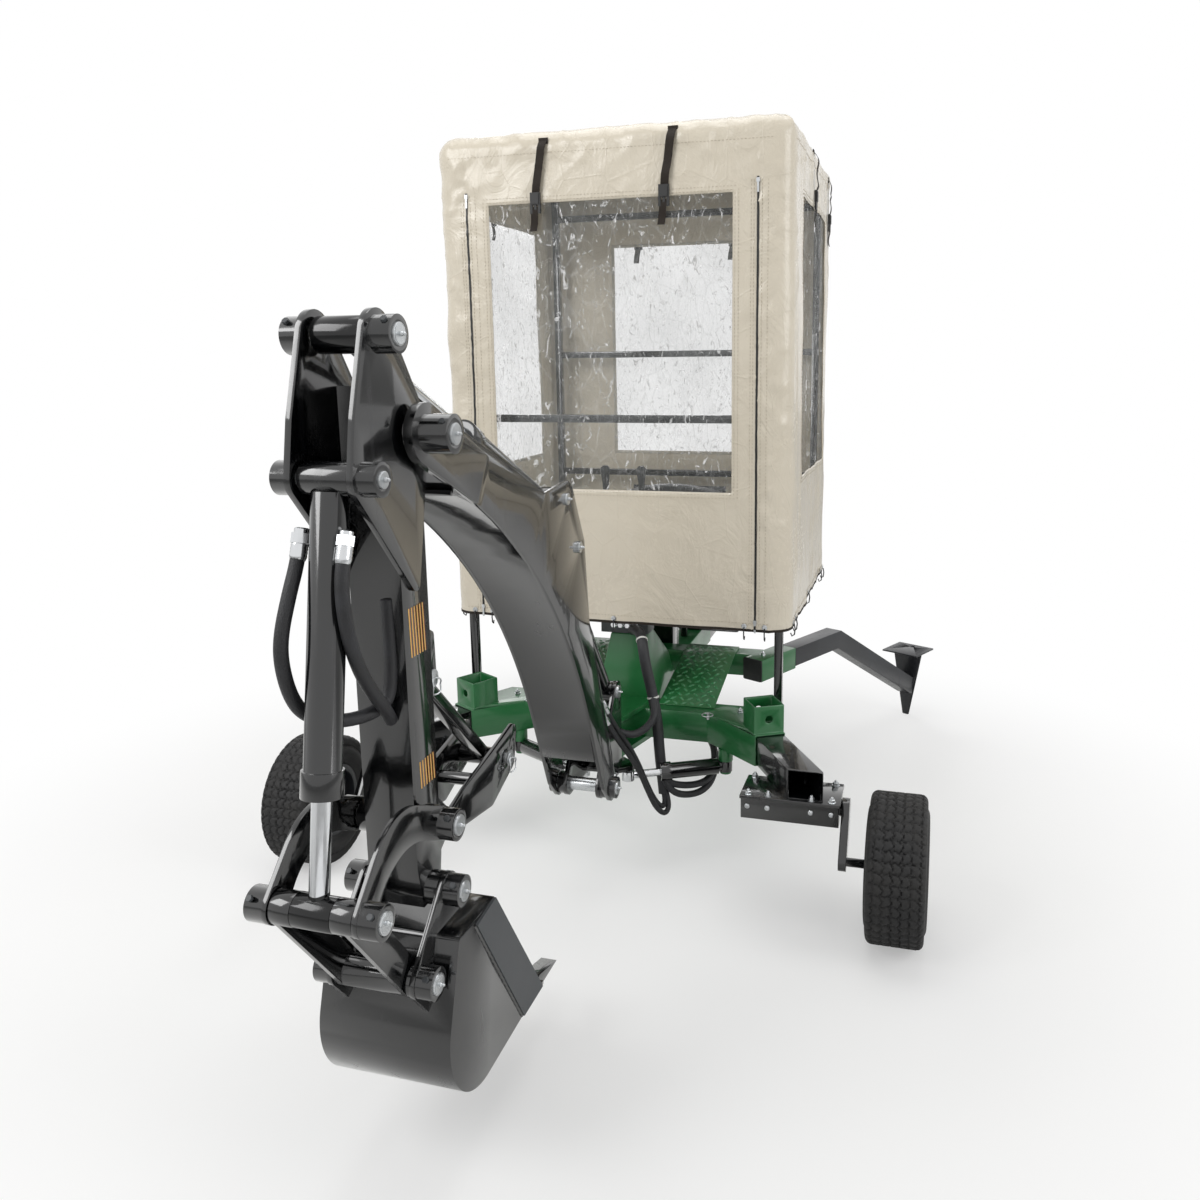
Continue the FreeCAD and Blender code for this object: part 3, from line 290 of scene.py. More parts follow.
def hoseRubber(name, colour, scale):
    made = Finish(name, Specular_IOR_Level=0.45)
    wrap = made.cells(scale, "F1", (1, 1, 0.55))
    dirt = made.cloud(18, 4).above(0.55, 0.12)
    made.feed("Base Color", made.mix(wrap * 0.35 + dirt * 0.4, colour, paint("#35363a")))
    made.feed("Roughness", dirt * 0.12 + wrap * 0.1 + 0.42)
    made.bump(wrap, 0.6, 0.001)
    return made


armGloss = enamel("armGloss", paint("#060708"), paint("#1c1d20"), 0.13, 0.9)
legSatin = enamel("legSatin", paint("#202226"), paint("#44464a"), 0.36, 0.15)
greenEnamel = enamel("greenEnamel", paint("#1f6a37"), paint("#3e8052"), 0.3, 0.3, 0.2)
# the lugs' lighter green is partly worn paint and partly painted highlight on the raised lugs
greenWornAndHighlit = enamel("greenWornAndHighlit", paint("#3f8f5b"), paint("#b9c4bb"), 0.24, 0.4, 0.9)
greenTread = enamel("greenTread", paint("#24703c"), paint("#6f8f6b"), 0.34, 0.2, 0.8)
zincPlate = plated("zincPlate", paint("#c9ccce"), 0.22, 0.5)
chromeRod = plated("chromeRod", paint("#d8dadc"), 0.07, 0.12)
castGrey = enamel("castGrey", paint("#3d4043"), paint("#5d6062"), 0.42, 0.0, 0.1)
rubber = turfRubber()
vinyl = coverVinyl()
film = windowFilm()
vinylBlack = seatVinyl()
plastic = moulded("blackPlastic", paint("#121212"), 0.4)
capPlastic = moulded("capPlastic", paint("#1a1b1c"), 0.5)
strapWeb = webbing()
hoseBlack = hoseRubber("hoseBlack", paint("#101012"), 330)
sleeveCloth = hoseRubber("sleeveCloth", paint("#1b1b1d"), 520)
tieWhite = moulded("tieWhite", paint("#cfcfca"), 0.45)
stripeOrange = moulded("stripeOrange", paint("#8c2f1c"), 0.35)
stripeGold = moulded("stripeGold", paint("#d2a85e"), 0.35)
threadPale = moulded("threadPale", paint("#a99f8c"), 0.6)
print("finishes mixed")

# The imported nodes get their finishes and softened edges

finishOf = {
    "arm_paint": armGloss, "leg_paint": legSatin, "green_paint": greenEnamel, "zinc": zincPlate,
    "chrome": chromeRod, "tyre_rubber": rubber, "cover_cloth": vinyl, "window_film": film,
    "seat_vinyl": vinylBlack, "black_plastic": capPlastic, "cast_grey": castGrey,
}
softEdge = {"crossmember": 0.004, "main_rail": 0.004, "leg_sleeves": 0.004, "drawbar": 0.004,
            "axle_tubes": 0.004,
            "support_leg_left": 0.004, "support_leg_right": 0.004, "sleeve_caps": 0.006, "power_unit": 0.01,
            "console": 0.005, "control_valve": 0.004, "windows": 0}


def dressNodes():
    for part in frame["record"]["subparts"]:
        name = part["node"]
        shown = nodes[name]
        shown.data.materials.clear()
        shown.data.materials.append((greenTread if name == "tread_plates"
                                     else finishOf[part["material_slot"]]).material)
        width = softEdge.get(name, 0.0016)
        if width:
            weld = shown.modifiers.new("weld", "WELD")
            weld.merge_threshold = 0.00005
            bevel = shown.modifiers.new("bevel", "BEVEL")
            bevel.width = width
            bevel.segments = 2
            bevel.limit_method = "ANGLE"
            bevel.angle_limit = math.radians(38)
            bevel.harden_normals = False
        shown.data.set_sharp_from_angle(angle=math.radians(38))


def chromeWithPaintedEye(name, eye, reach):
    # a chromed rod whose welded eye is painted like the arm
    made = Finish(name + "Finish", Coat_Roughness=0.05)
    local = nodes[name].matrix_world.inverted() @ at(0, *eye)
    middle = (0, local.y, local.z)
    apart = made.node("ShaderNodeVectorMath", {"operation": "DISTANCE"},
                      {0: made.scaled((0, 1, 1)), 1: middle}, 1)
    chromed = apart.above(reach, 0.0006)
    stain = made.cloud(30, 4).above(0.56, 0.12)
    made.feed("Base Color", made.mix(chromed, paint("#060708"), paint("#d8dadc")))
    made.feed("Metallic", chromed)
    made.feed("Roughness", stain * 0.08 + made.cloud(240, 2) * 0.06 + 0.08)
    made.bump(made.cloud(160, 2), 0.08, 0.0005)
    return made


rodEyes = {"boom_cylinder_rod": ((-541, 1122), 0.036), "dipper_cylinder_rod": ((-1442, 1652), 0.038),
           "bucket_cylinder_rod": ((-1629, 694), 0.036)}

dressNodes()
for name, (eye, reach) in rodEyes.items():
    nodes[name].data.materials[0] = chromeWithPaintedEye(name, eye, reach).material
print("nodes dressed")


def addMesh(name, points, faces, finish, body, sharp=40):
    data = bpy.data.meshes.new(name)
    data.from_pydata([tuple(p) for p in points], [], faces)
    data.materials.append(finish.material)
    for face in data.polygons:
        face.use_smooth = True
    data.set_sharp_from_angle(angle=math.radians(sharp))
    piece = bpy.data.objects.new(name, data)
    scene.collection.objects.link(piece)
    if body:
        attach(piece, body)
    return piece


class Shape:
    # points and faces of several small forms, joined in one mesh
    def __init__(self):
        self.points = []
        self.faces = []

    def add(self, points, faces):
        start = len(self.points)
        self.points += [Vector(p) for p in points]
        self.faces += [[start + i for i in face] for face in faces]

    def block(self, low, high, place=Matrix()):
        corners = [(x, y, z) for z in (low[2], high[2]) for y in (low[1], high[1])
                   for x in (low[0], high[0])]
        self.add([place @ Vector(c) for c in corners],
                 [(0, 2, 3, 1), (4, 5, 7, 6), (0, 1, 5, 4), (2, 6, 7, 3), (0, 4, 6, 2), (1, 3, 7, 5)])

    def turned(self, profile, place, count=16):
        # profile is (radius, height) from bottom to top, turned round the place's own Z
        rings = []
        for radius, height in profile:
            rings.append([place @ Vector((radius * math.cos(2 * math.pi * k / count),
                                          radius * math.sin(2 * math.pi * k / count), height))
                                          for k in range(count)])
        points = [p for ring in rings for p in ring]
        faces = [list(range(count))[::-1]]
        for ring in range(len(rings) - 1):
            for k in range(count):
                a, b = ring * count + k, ring * count + (k + 1) % count
                faces.append((a, b, b + count, a + count))
        faces.append([(len(rings) - 1) * count + k for k in range(count)])
        self.add(points, faces)

    def tube(self, line, radius, count=10):
        # a round bar along a line of points
        turn = None
        rings = []
        for number, point in enumerate(line):
            before, after = line[max(number - 1, 0)], line[min(number + 1, len(line) - 1)]
            along = (Vector(after) - Vector(before)).normalized()
            if turn is None:
                turn = along.orthogonal().normalized()
            turn = (turn - along * turn.dot(along)).normalized()
            side = along.cross(turn)
            size = radius[number] if isinstance(radius, list) else radius
            rings.append([Vector(point) + size * (turn * math.cos(2 * math.pi * k / count)
                                                  + side * math.sin(2 * math.pi * k / count))
                          for k in range(count)])
        faces = [list(range(count))[::-1]]
        for ring in range(len(rings) - 1):
            for k in range(count):
                a, b = ring * count + k, ring * count + (k + 1) % count
                faces.append((a, b, b + count, a + count))
        faces.append([(len(rings) - 1) * count + k for k in range(count)])
        self.add([p for ring in rings for p in ring], faces)

    def band(self, line, across, width, thick, out):
        # a flat strap along a line; across and out are directions for each point
        rows = []
        for point, side, up in zip(line, across, out):
            half = side * (width / 2)
            rows.append([point - half, point + half, point + half + up * thick, point - half + up * thick])
        faces = [(3, 2, 1, 0)]
        for row in range(len(rows) - 1):
            for k in range(4):
                a, b = row * 4 + k, row * 4 + (k + 1) % 4
                faces.append((a, b, b + 4, a + 4))
        last = (len(rows) - 1) * 4
        faces.append((last, last + 1, last + 2, last + 3))
        self.add([p for row in rows for p in row], faces)

    def make(self, name, finish, body, slot, sharp=40):
        return addMesh(name, self.points, self.faces, finish, body, sharp)


def facing(place, direction, turn=0.0):
    # a matrix at a place whose own Z points along the direction
    matrix = Vector(direction).to_track_quat("Z", "Y").to_matrix().to_4x4()
    return Matrix.Translation(place) @ matrix @ Matrix.Rotation(turn, 4, "Z")


# Cover: one continuous coated cloth with its folds, window openings and rolled roof edge

coverNodes = ["cover_front", "cover_rear", "cover_left", "cover_right", "cover_roof"]
lowCorner = Vector([min(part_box(n)[0][k] for n in coverNodes) for k in range(3)])
highCorner = Vector([max(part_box(n)[1][k] for n in coverNodes) for k in range(3)])
coverSet = {"corner": 0.062, "roll": 0.060, "zip": 0.460, "cloth": 0.0016, "pitch": 0.014, "hem": 0.030,
            "front": (0.385, 1.200, 2.080), "rear": (0.300, 1.230, 2.050), "side": (0.308, 1.230, 2.090),
            "welt": 0.022}
coverHalf = highCorner.x
coverMiddle = (lowCorner.y + highCorner.y) / 2
coverReach = (highCorner.y - lowCorner.y) / 2
sideMiddle = lowCorner.y + 0.217 + 0.308
wallTop = highCorner.z - coverSet["roll"]
# each wall: its outward direction, the direction along it and its half length
walls = {"front": (Vector((0, -1, 0)), Vector((1, 0, 0)), coverHalf),
         "right": (Vector((1, 0, 0)), Vector((0, 1, 0)), coverReach),
         "rear": (Vector((0, 1, 0)), Vector((-1, 0, 0)), coverHalf),
         "left": (Vector((-1, 0, 0)), Vector((0, -1, 0)), coverReach)}
windowOf = {"front": coverSet["front"], "right": coverSet["side"], "rear": coverSet["rear"],
            "left": coverSet["side"]}


def windowMiddle(wall):
    # where the window's centre lies along its wall
    shift = sideMiddle - coverMiddle
    return {"front": 0.0, "rear": 0.0, "right": shift, "left": -shift}[wall]


def wave(a, b, seed):
    return noise.noise(Vector((a, b, seed)))


def ridge(value, sharp=1.6):
    return (1 - abs(value)) ** (sharp * 4)


def crest(along, z, turn, fine, coarse, seed):
    # narrow creases that run along one direction: 1 on a crease, 0 between them
    c, s = math.cos(turn), math.sin(turn)
    value = wave((along * c + z * s) * fine, (z * c - along * s) * coarse, seed)
    return max(0.0, 1 - abs(value) * 3.4) ** 2


def lift(wall, along, z):
    # how far the cloth stands out from its wall, in metres
    half = walls[wall][2]
    seed = {"front": 3.1, "right": 11.7, "rear": 23.9, "left": 37.3}[wall]
    edge = half - abs(along)
    top = highCorner.z - z
    low = z - lowCorner.z
    out = 0.0055 * wave(along * 2.1, z * 1.7, seed) + 0.0026 * wave(along * 6, z * 4, seed + 5)
    if wall in ("front", "rear"):
        fromZip = abs(along) - coverSet["zip"]
        near = math.exp(-(fromZip / 0.055) ** 2)
        out += 0.0034 * near * (crest(along, z, 0.35, 4, 26, seed + 9) - 0.3)
        out -= 0.0022 * math.exp(-(fromZip / 0.006) ** 2)
        outer = 1 / (1 + math.exp(-fromZip / 0.012))
        out += 0.0052 * outer * (crest(along, z, 1.1, 5, 15, seed + 14) - 0.25)
        out += 0.0040 * outer * wave(along * 20, z * 9, seed + 15)
        out += 0.0016 * (1 - outer) * crest(along, z, -0.5, 3, 9, seed + 17)
    else:
        calm = 0.35 + 0.65 * min(1, edge / 0.15)
        out += 0.0070 * calm * wave(along * 9 + z * 0.9, z * 1.2, seed + 2)
        out += 0.0048 * (crest(along, z, 0.12, 11, 1.6, seed + 4) - 0.25)
        out += 0.0026 * wave(along * 26, z * 5, seed + 6)
    band = math.exp(-(top / 0.17) ** 2)
    out += 0.0052 * band * (crest(along, z, 0.75, 5, 12, seed + 21) - 0.3)
    out += 0.0044 * band * (crest(along, z, -0.6, 4, 10, seed + 22) - 0.3)
    corner = math.exp(-edge / 0.16) * math.exp(-top / 0.34)
    rise = (edge + top) * 0.7
    out += 0.0085 * corner * (crest(edge - top, rise, 0.0, 9, 2.4, seed + 31) - 0.3)
    out += 0.0075 * math.exp(-low / 0.09) * wave(along * 6, 0.4, seed + 40)
    out += 0.0030 * math.exp(-low / 0.22) * (crest(along, z, 0.2, 7, 2, seed + 42) - 0.3)
    if low < coverSet["hem"]:
        out += 0.0008
    windowHalf, windowLow, windowHigh = windowOf[wall]
    across = abs(along - windowMiddle(wall)) - windowHalf
    upright = max(windowLow - z, z - windowHigh)
    welt = max(across, upright)
    if -0.001 < welt < coverSet["welt"]:
        out += 0.0009
    return max(out, -0.0028)


def onWall(wall, along, z, extra=0.0):
    outward, direction, half = walls[wall]
    reach = coverReach if wall in ("front", "rear") else coverHalf
    return (Vector((0, coverMiddle, z)) + direction * along
            + outward * (reach + lift(wall, along, z) + extra))


def spread(breaks, pitch):
    # even steps between fixed places, which are all kept
    values = [breaks[0]]
    for start, end in zip(breaks, breaks[1:]):
        count = max(1, math.ceil((end - start) / pitch - 0.001))
        values += [start + (end - start) * (k + 1) / count for k in range(count)]
    return values


def wallBreaks(wall):
    half = walls[wall][2] - coverSet["corner"]
    windowHalf = windowOf[wall][0]
    middle = windowMiddle(wall)
    inner = [middle - windowHalf, middle + windowHalf]
    if wall in ("front", "rear"):
        zips = coverSet["zip"]
        inner = [-zips - 0.006, -zips, -zips + 0.006, *inner, zips - 0.006, zips, zips + 0.006]
    return spread([-half, *inner, half], coverSet["pitch"])


def coverColumns():
    # wall name, place along it and how far round the corner after it, in order round the cab
    found = []
    for wall in walls:
        for along in wallBreaks(wall):
            found.append((wall, along, 0.0))
        for step in range(1, 7):
            found.append((wall, walls[wall][2] - coverSet["corner"], step / 7))
    return found


wallOrder = list(walls)


def coverPoint(column, z, inward=0.0, share=1.0):
    wall, along, turn = column
    outward, direction, half = walls[wall]
    after = walls[wallOrder[(wallOrder.index(wall) + 1) % 4]]
    corner = coverSet["corner"]
    reach = coverReach if wall in ("front", "rear") else coverHalf
    if turn:
        angle = turn * math.pi / 2
        normal = outward * math.cos(angle) + after[0] * math.sin(angle)
        base = outward * (reach - corner) + after[0] * (half - corner) + normal * corner
        first = lift(wall, half - 0.004, z)
        second = lift(wallOrder[(wallOrder.index(wall) + 1) % 4], 0.004 - after[2], z)
        out = first * (1 - turn) + second * turn
    else:
        normal = outward
        base = outward * reach + direction * along
        out = lift(wall, along, z)
    place = Vector((0, coverMiddle, z)) + base * share - normal * inward
    return place, normal, out


def makeCover():
    windows = [z for half, low, high in windowOf.values() for z in (low, high)]
    levels = sorted({round(z, 6) for z in [lowCorner.z, lowCorner.z + coverSet["hem"], *windows, wallTop]})
    rows = spread(levels, coverSet["pitch"])
    columns = coverColumns()
    count = len(columns)
    points = []
    for z in rows:
        for column in columns:
            place, normal, out = coverPoint(column, z)
            points.append(place + normal * out)
    roll = coverSet["roll"]
    for step in range(1, 8):
        angle = step / 7 * math.pi / 2
        for column in columns:
            place, normal, out = coverPoint(column, wallTop, roll * (1 - math.cos(angle)))
            place.z = wallTop + roll * math.sin(angle)
            push = normal * math.cos(angle) + Vector((0, 0, math.sin(angle)))
            across = place.x * abs(normal.y) + place.y * abs(normal.x)
            extra = 0.0075 * (crest(across, angle * 0.09, 0.25, 13, 3, 51) - 0.25) * math.sin(2 * angle)
            extra += 0.004 * wave(across * 7, angle, 52) * math.sin(angle)
            points.append(place + push * (max(out, -0.001) * math.cos(angle) + max(extra, -0.002)))
    shares = [1 - k / 34 for k in range(1, 34)] + [0.012]
    for share in shares:
        for column in columns:
            place, normal, out = coverPoint(column, highCorner.z, roll)
            place = Vector((place.x * share, coverMiddle + (place.y - coverMiddle) * share, highCorner.z))
            sag = -0.009 * (1 - share) * (1 + wave(place.x * 3, place.y * 3, 61))
            folds = (0.0035 * wave(place.x * 5, place.y * 14, 71)
                     + 0.002 * wave(place.x * 17, place.y * 7, 72))
            place.z += (sag + folds) * min(1, (1 - share) * 9) - 0.0004
            points.append(place)
    faces = []
    total = len(rows) + 7 + len(shares)
    heights = rows + [99.0] * (total - len(rows))
    for row in range(total - 1):
        for k in range(count):
            if opened(columns[k], columns[(k + 1) % count], heights[row], heights[row + 1]):
                continue
            a, b = row * count + k, row * count + (k + 1) % count
            faces.append((a, b, b + count, a + count))
    faces.append([(total - 1) * count + k for k in range(count)])
    cover = addMesh("cabCover", points, faces, vinyl, "chassis", 60)
    tidy = bmesh.new()
    tidy.from_mesh(cover.data)
    loose = [vertex for vertex in tidy.verts if not vertex.link_faces]
    bmesh.ops.delete(tidy, geom=loose, context="VERTS")
    tidy.to_mesh(cover.data)
    tidy.free()
    solid = cover.modifiers.new("cloth", "SOLIDIFY")
    solid.thickness = coverSet["cloth"]
    solid.offset = -1
    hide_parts(*coverNodes)
    return cover


def opened(first, second, low, high):
    # True where a face of the cover lies in a window
    wall, along, turn = first
    if turn or second[0] != wall or second[2]:
        return False
    half, bottom, top = windowOf[wall]
    middle = windowMiddle(wall)
    centre = (along + second[1]) / 2
    level = (low + high) / 2
    return abs(centre - middle) < half and bottom < level < top


cover = makeCover()
print("cover sewn")

# Windows: crinkled clear film behind the openings

paneSet = {"lap": 0.012, "pitch": 0.009, "film": 0.0008}


def makePane(wall, name):
    half, low, high = windowOf[wall]
    middle = windowMiddle(wall)
    lap = paneSet["lap"]
    across = spread([middle - half - lap, middle + half + lap], paneSet["pitch"])
    rows = spread([low - lap, high + lap], paneSet["pitch"])
    seed = 80 + 10 * wallOrder.index(wall)
    points = []
    for z in rows:
        for along in across:
            inside = min(half + lap - abs(along - middle), z - low + lap, high + lap - z)
            fade = min(1, max(0, (inside - 2 * lap) / 0.05))
            crinkle = (0.0035 * wave(along * 11, z * 7, seed)
                       + 0.0022 * wave(along * 26 + z * 9, z * 19, seed + 1))
            crinkle += 0.0016 * ridge(wave(along * 9 - z * 6, z * 5, seed + 2), 2.5)
            back = coverSet["cloth"] + 0.0014
            points.append(onWall(wall, along, z, fade * (crinkle - 0.001) - back))
    count = len(across)
    faces = [(r * count + k, r * count + k + 1, (r + 1) * count + k + 1, (r + 1) * count + k)
             for r in range(len(rows) - 1) for k in range(count - 1)]
    pane = addMesh(name, points, faces, film, "chassis", 70)
    solid = pane.modifiers.new("film", "SOLIDIFY")
    solid.thickness = paneSet["film"]
    solid.offset = -1
    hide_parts("windows")


for wall in walls:
    makePane(wall, "window" + wall.capitalize())
print("windows set")

# Trim on the cover: zips, stitches, straps with their buckles, hem and its hooks

trimSet = {"zipTop": 2.12, "tooth": 0.0065, "stitch": 0.006, "gap": 0.005, "strap": 0.025,
           "webThick": 0.0016}


def zipLines():
    teeth, tabs = Shape(), Shape()
    for wall in ("front", "rear"):
        for sign in (-1, 1):
            heights = spread([lowCorner.z + 0.002, trimSet["zipTop"]], 0.012)
            line = [onWall(wall, sign * coverSet["zip"], z, 0.0004) for z in heights]
            outward, direction, half = walls[wall]
            teeth.band(line, [direction] * len(line), trimSet["tooth"], 0.0016, [outward] * len(line))
            for level in (trimSet["zipTop"] - 0.01, lowCorner.z + 0.03):
                middle = onWall(wall, sign * coverSet["zip"], level, 0.001)
                turn = facing(middle, outward)
                tabs.block((-0.005, -0.006, 0), (0.005, 0.006, 0.005), turn)
                tabs.block((-0.003, -0.034, 0.003), (0.003, -0.006, 0.0045), turn)
    teeth.make("zipTeeth", plastic, "chassis", "black_plastic")
    tabs.make("zipSliders", zincPlate, "chassis", "zinc")


def stitchLines():
    thread = Shape()
    step = trimSet["stitch"] + trimSet["gap"]
    runs = []
    for wall in ("front", "rear"):
        for sign in (-1, 1):
            for offset in (-0.020, -0.012, 0.012, 0.030):
                runs.append((wall, sign * coverSet["zip"] + offset, lowCorner.z + 0.02, None,
                             trimSet["zipTop"]))
    for wall in walls:
        half, low, high = windowOf[wall]
        middle = windowMiddle(wall)
        for offset in (0.007, 0.018):
            for side in (-1, 1):
                runs.append((wall, middle + side * (half + offset), low - offset, None, high + offset))
            for level in (low - offset, high + offset):
                runs.append((wall, middle - half - offset, level, middle + half + offset, level))
        reach = walls[wall][2] - 0.05
        runs.append((wall, -reach, lowCorner.z + 0.026, reach, lowCorner.z + 0.026))
        runs.append((wall, -reach, wallTop - 0.012, reach, wallTop - 0.012))
    for wall, start, low, end, high in runs:
        length = high - low if end is None else end - start
        for number in range(int(length / step)):
            first, second = number * step, number * step + trimSet["stitch"]
            if end is None:
                places = [(start, low + first), (start, low + second)]
            else:
                places = [(start + first, low), (start + second, low)]
            line = [onWall(wall, along, z, 0.0001) for along, z in places]
            outward = walls[wall][0]
            side = outward.cross(line[1] - line[0]).normalized()
            thread.band(line, [side] * 2, 0.0011, 0.0007, [outward] * 2)
    thread.make("coverStitching", threadPale, "chassis", "cover_cloth")


def coverHem():
    # a dark binding along the lower edge
    rim = Shape()
    columns = coverColumns()
    for low, high, out in ((lowCorner.z - 0.0006, lowCorner.z + 0.008, 0.0005),):
        points = []
        for column in columns:
            for z, extra in ((low, out), (high, out), (high, -0.0028), (low, -0.0028)):
                place, normal, stand = coverPoint(column, max(z, lowCorner.z))
                place.z = z
                points.append(place + normal * (stand + extra))
        count = len(columns)
        faces = []
        for k in range(count):
            for m in range(4):
                a, b = k * 4 + m, k * 4 + (m + 1) % 4
                c = ((k + 1) % count) * 4
                faces.append((a, b, c + (m + 1) % 4, c + m))
        rim.add(points, faces)
    rim.make("hemBinding", strapWeb, "chassis", "black_plastic")


def strapWithBuckle(strips, buckles, wall, along, top, bottom, lean=0.0):
    # a roll-up strap sewn on near the roof's edge, with a side-release buckle at its end
    outward, direction, half = walls[wall]
    count = 22
    line, sides, outs = [], [], []
    for k in range(count + 1):
        share = k / count
        z = top + (bottom - top) * share
        over = max(0.0, z - wallTop)
        inset = coverSet["roll"] - math.sqrt(max(0.0, coverSet["roll"] ** 2 - over ** 2)) if over else 0.0
        belly = 0.010 * math.sin(share * math.pi) + 0.004 * math.sin(share * math.pi * 3)
        line.append(onWall(wall, along + lean * share, min(z, wallTop), belly + 0.002 - inset)
                    + Vector((0, 0, over)))
        sides.append((direction + Vector((0, 0, 0.25 * lean * math.sin(share * 5)))).normalized())
        outs.append(outward)
    strips.band(line, sides, trimSet["strap"], trimSet["webThick"], outs)
    patch = line[0]
    strips.band([patch + Vector((0, 0, 0.006)), patch - Vector((0, 0, 0.012))], [direction] * 2, 0.03,
                0.0032, [outward] * 2)
    clip = facing(line[-1] + outward * 0.001, outward)
    buckles.block((-0.016, -0.024, 0), (0.016, 0.012, 0.0085), clip)
    buckles.block((-0.012, -0.022, 0.0085), (0.012, 0.008, 0.0105), clip)
    for side in (-1, 1):
        buckles.block((side * 0.013 - 0.004, -0.05, 0.0015), (side * 0.013 + 0.004, -0.022, 0.0075), clip)
    buckles.block((-0.004, -0.05, 0.002), (0.004, -0.022, 0.0065), clip)
    tail = [line[-1] + outward * 0.004 + Vector((0, 0, -0.03 - 0.012 * k))
            + outward * 0.003 * math.sin(k * 1.1)
            + direction * 0.0016 * k * (1 if lean >= 0 else -1) for k in range(7)]
    strips.band(tail, [direction] * 7, trimSet["strap"] * 0.9, trimSet["webThick"], [outward] * 7)


def coverStraps():
    strips, buckles = Shape(), Shape()
    for wall, along, top, bottom, lean in (
            ("front", -0.198, 2.262, 2.098, -0.028), ("front", 0.206, 2.270, 2.100, -0.026),
            ("rear", -0.200, 2.262, 2.090, 0.012), ("rear", 0.200, 2.262, 2.090, 0.0),
            ("right", -0.03, 2.268, 2.135, 0.01), ("right", 0.43, 2.255, 2.118, 0.006),
            ("left", 0.03, 2.268, 2.135, 0.01), ("left", -0.43, 2.255, 2.118, 0.006)):
        strapWithBuckle(strips, buckles, wall, along, top, bottom, lean)
    strips.make("coverStraps", strapWeb, "chassis", "black_plastic")
    buckles.make("strapBuckles", plastic, "chassis", "black_plastic")


def hemHooks():
    # eyelets above the hem and a drawcord hooked below it
    metal, cordBits = Shape(), Shape()
    for wall in walls:
        half = walls[wall][2]
        outward, direction, reach = walls[wall]
        for along in (-half + 0.075, -half + 0.14, 0.0, half - 0.14, half - 0.075):
            place = onWall(wall, along, lowCorner.z + 0.016, 0.0014)
            metal.turned([(0.0085, 0), (0.0085, 0.0012), (0.0055, 0.0018), (0.0055, 0.0008)],
                         facing(place, outward), 14)
            hook = [place + outward * 0.003 + Vector((0, 0, -0.004)),
                    place + outward * 0.006 + Vector((0, 0, -0.02)),
                    place + outward * 0.004 + Vector((0, 0, -0.038)),
                    place - outward * 0.004 + Vector((0, 0, -0.044)),
                    place - outward * 0.008 + Vector((0, 0, -0.034))]
            cordBits.tube(hook, 0.0022, 6)
    metal.make("hemEyelets", zincPlate, "chassis", "zinc")
    cordBits.make("hemHooks", plastic, "chassis", "black_plastic")


zipLines()
stitchLines()
coverHem()
coverStraps()
hemHooks()
print("trim sewn on")

# Seat: two padded cushions with piping, on the pedestal

seatSet = {"half": 0.205}


def cushion(name, low, high, tilt, crown, pinch):
    # a closed form crowned in its middle, whose sides pull in between its corners
    width, depth, height = (high[k] - low[k] for k in range(3))
    middle = Vector([(high[k] + low[k]) / 2 for k in range(3)])
    form = bmesh.new()
    bmesh.ops.create_cube(form, size=2)
    bmesh.ops.subdivide_edges(form, edges=form.edges, cuts=15, use_grid_fill=True)
    for vertex in form.verts:
        x, y, z = vertex.co
        round4 = (abs(x) ** 6 + abs(y) ** 6 + abs(z) ** 6) ** (1 / 6)
        x, y, z = x / round4, y / round4, z / round4
        swell = (1 - x * x) * (1 - y * y)
        pull = pinch * (1 - abs(z)) * 0.5
        channel = 0.007 * math.exp(-((abs(x) - 0.46) / 0.035) ** 2) * (1 - y * y)
        point = Vector((x * width / 2 * (1 - pull * (1 - y * y)), y * depth / 2 * (1 - pull * (1 - x * x)),
                        z * height / 2 * (0.72 + 0.28 * swell) - math.copysign(channel, z)))
        point.z += 0.0015 * noise.noise(Vector((x * 5, y * 5, z * 3)))
        vertex.co = point
    data = bpy.data.meshes.new(name)
    form.to_mesh(data)
    form.free()
    data.materials.append(vinylBlack.material)
    for face in data.polygons:
        face.use_smooth = True
    piece = bpy.data.objects.new(name, data)
    scene.collection.objects.link(piece)
    data.transform(Matrix.Translation(middle) @ Matrix.Rotation(math.radians(tilt), 4, "X"))
    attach(piece, "chassis")
    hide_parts("seat")
    return piece


def makeSeat():
    low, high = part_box("seat")
    half = seatSet["half"]
    base = low.z
    cushion("seatCushion", (-half, low.y + 0.002, base + 0.001), (half, low.y + 0.40, base + 0.112),
            0, 0.02, 0.10)
    cushion("seatBack", (-half, low.y + 0.322, base + 0.215), (half, low.y + 0.437, base + 0.42),
            0, 0.02, 0.10)
    shell = Shape()
    backLine = [Vector((0, low.y + 0.40, base + 0.02)), Vector((0, low.y + 0.425, base + 0.12)),
                Vector((0, low.y + 0.455, base + 0.30)), Vector((0, high.y - 0.006, base + 0.40))]
    side = Vector((1, 0, 0))
    shell.band(backLine, [side] * 4, 2 * half - 0.03, 0.006, [Vector((0, 1, 0))] * 4)
    shell.make("seatShell", plastic, "chassis", "black_plastic")


makeSeat()
print("seat made")

# Levers: chrome shafts in rubber gaiters with shaped grips

leverSet = {"places": (-75, 50), "shaft": 0.006, "grip": 0.0165}


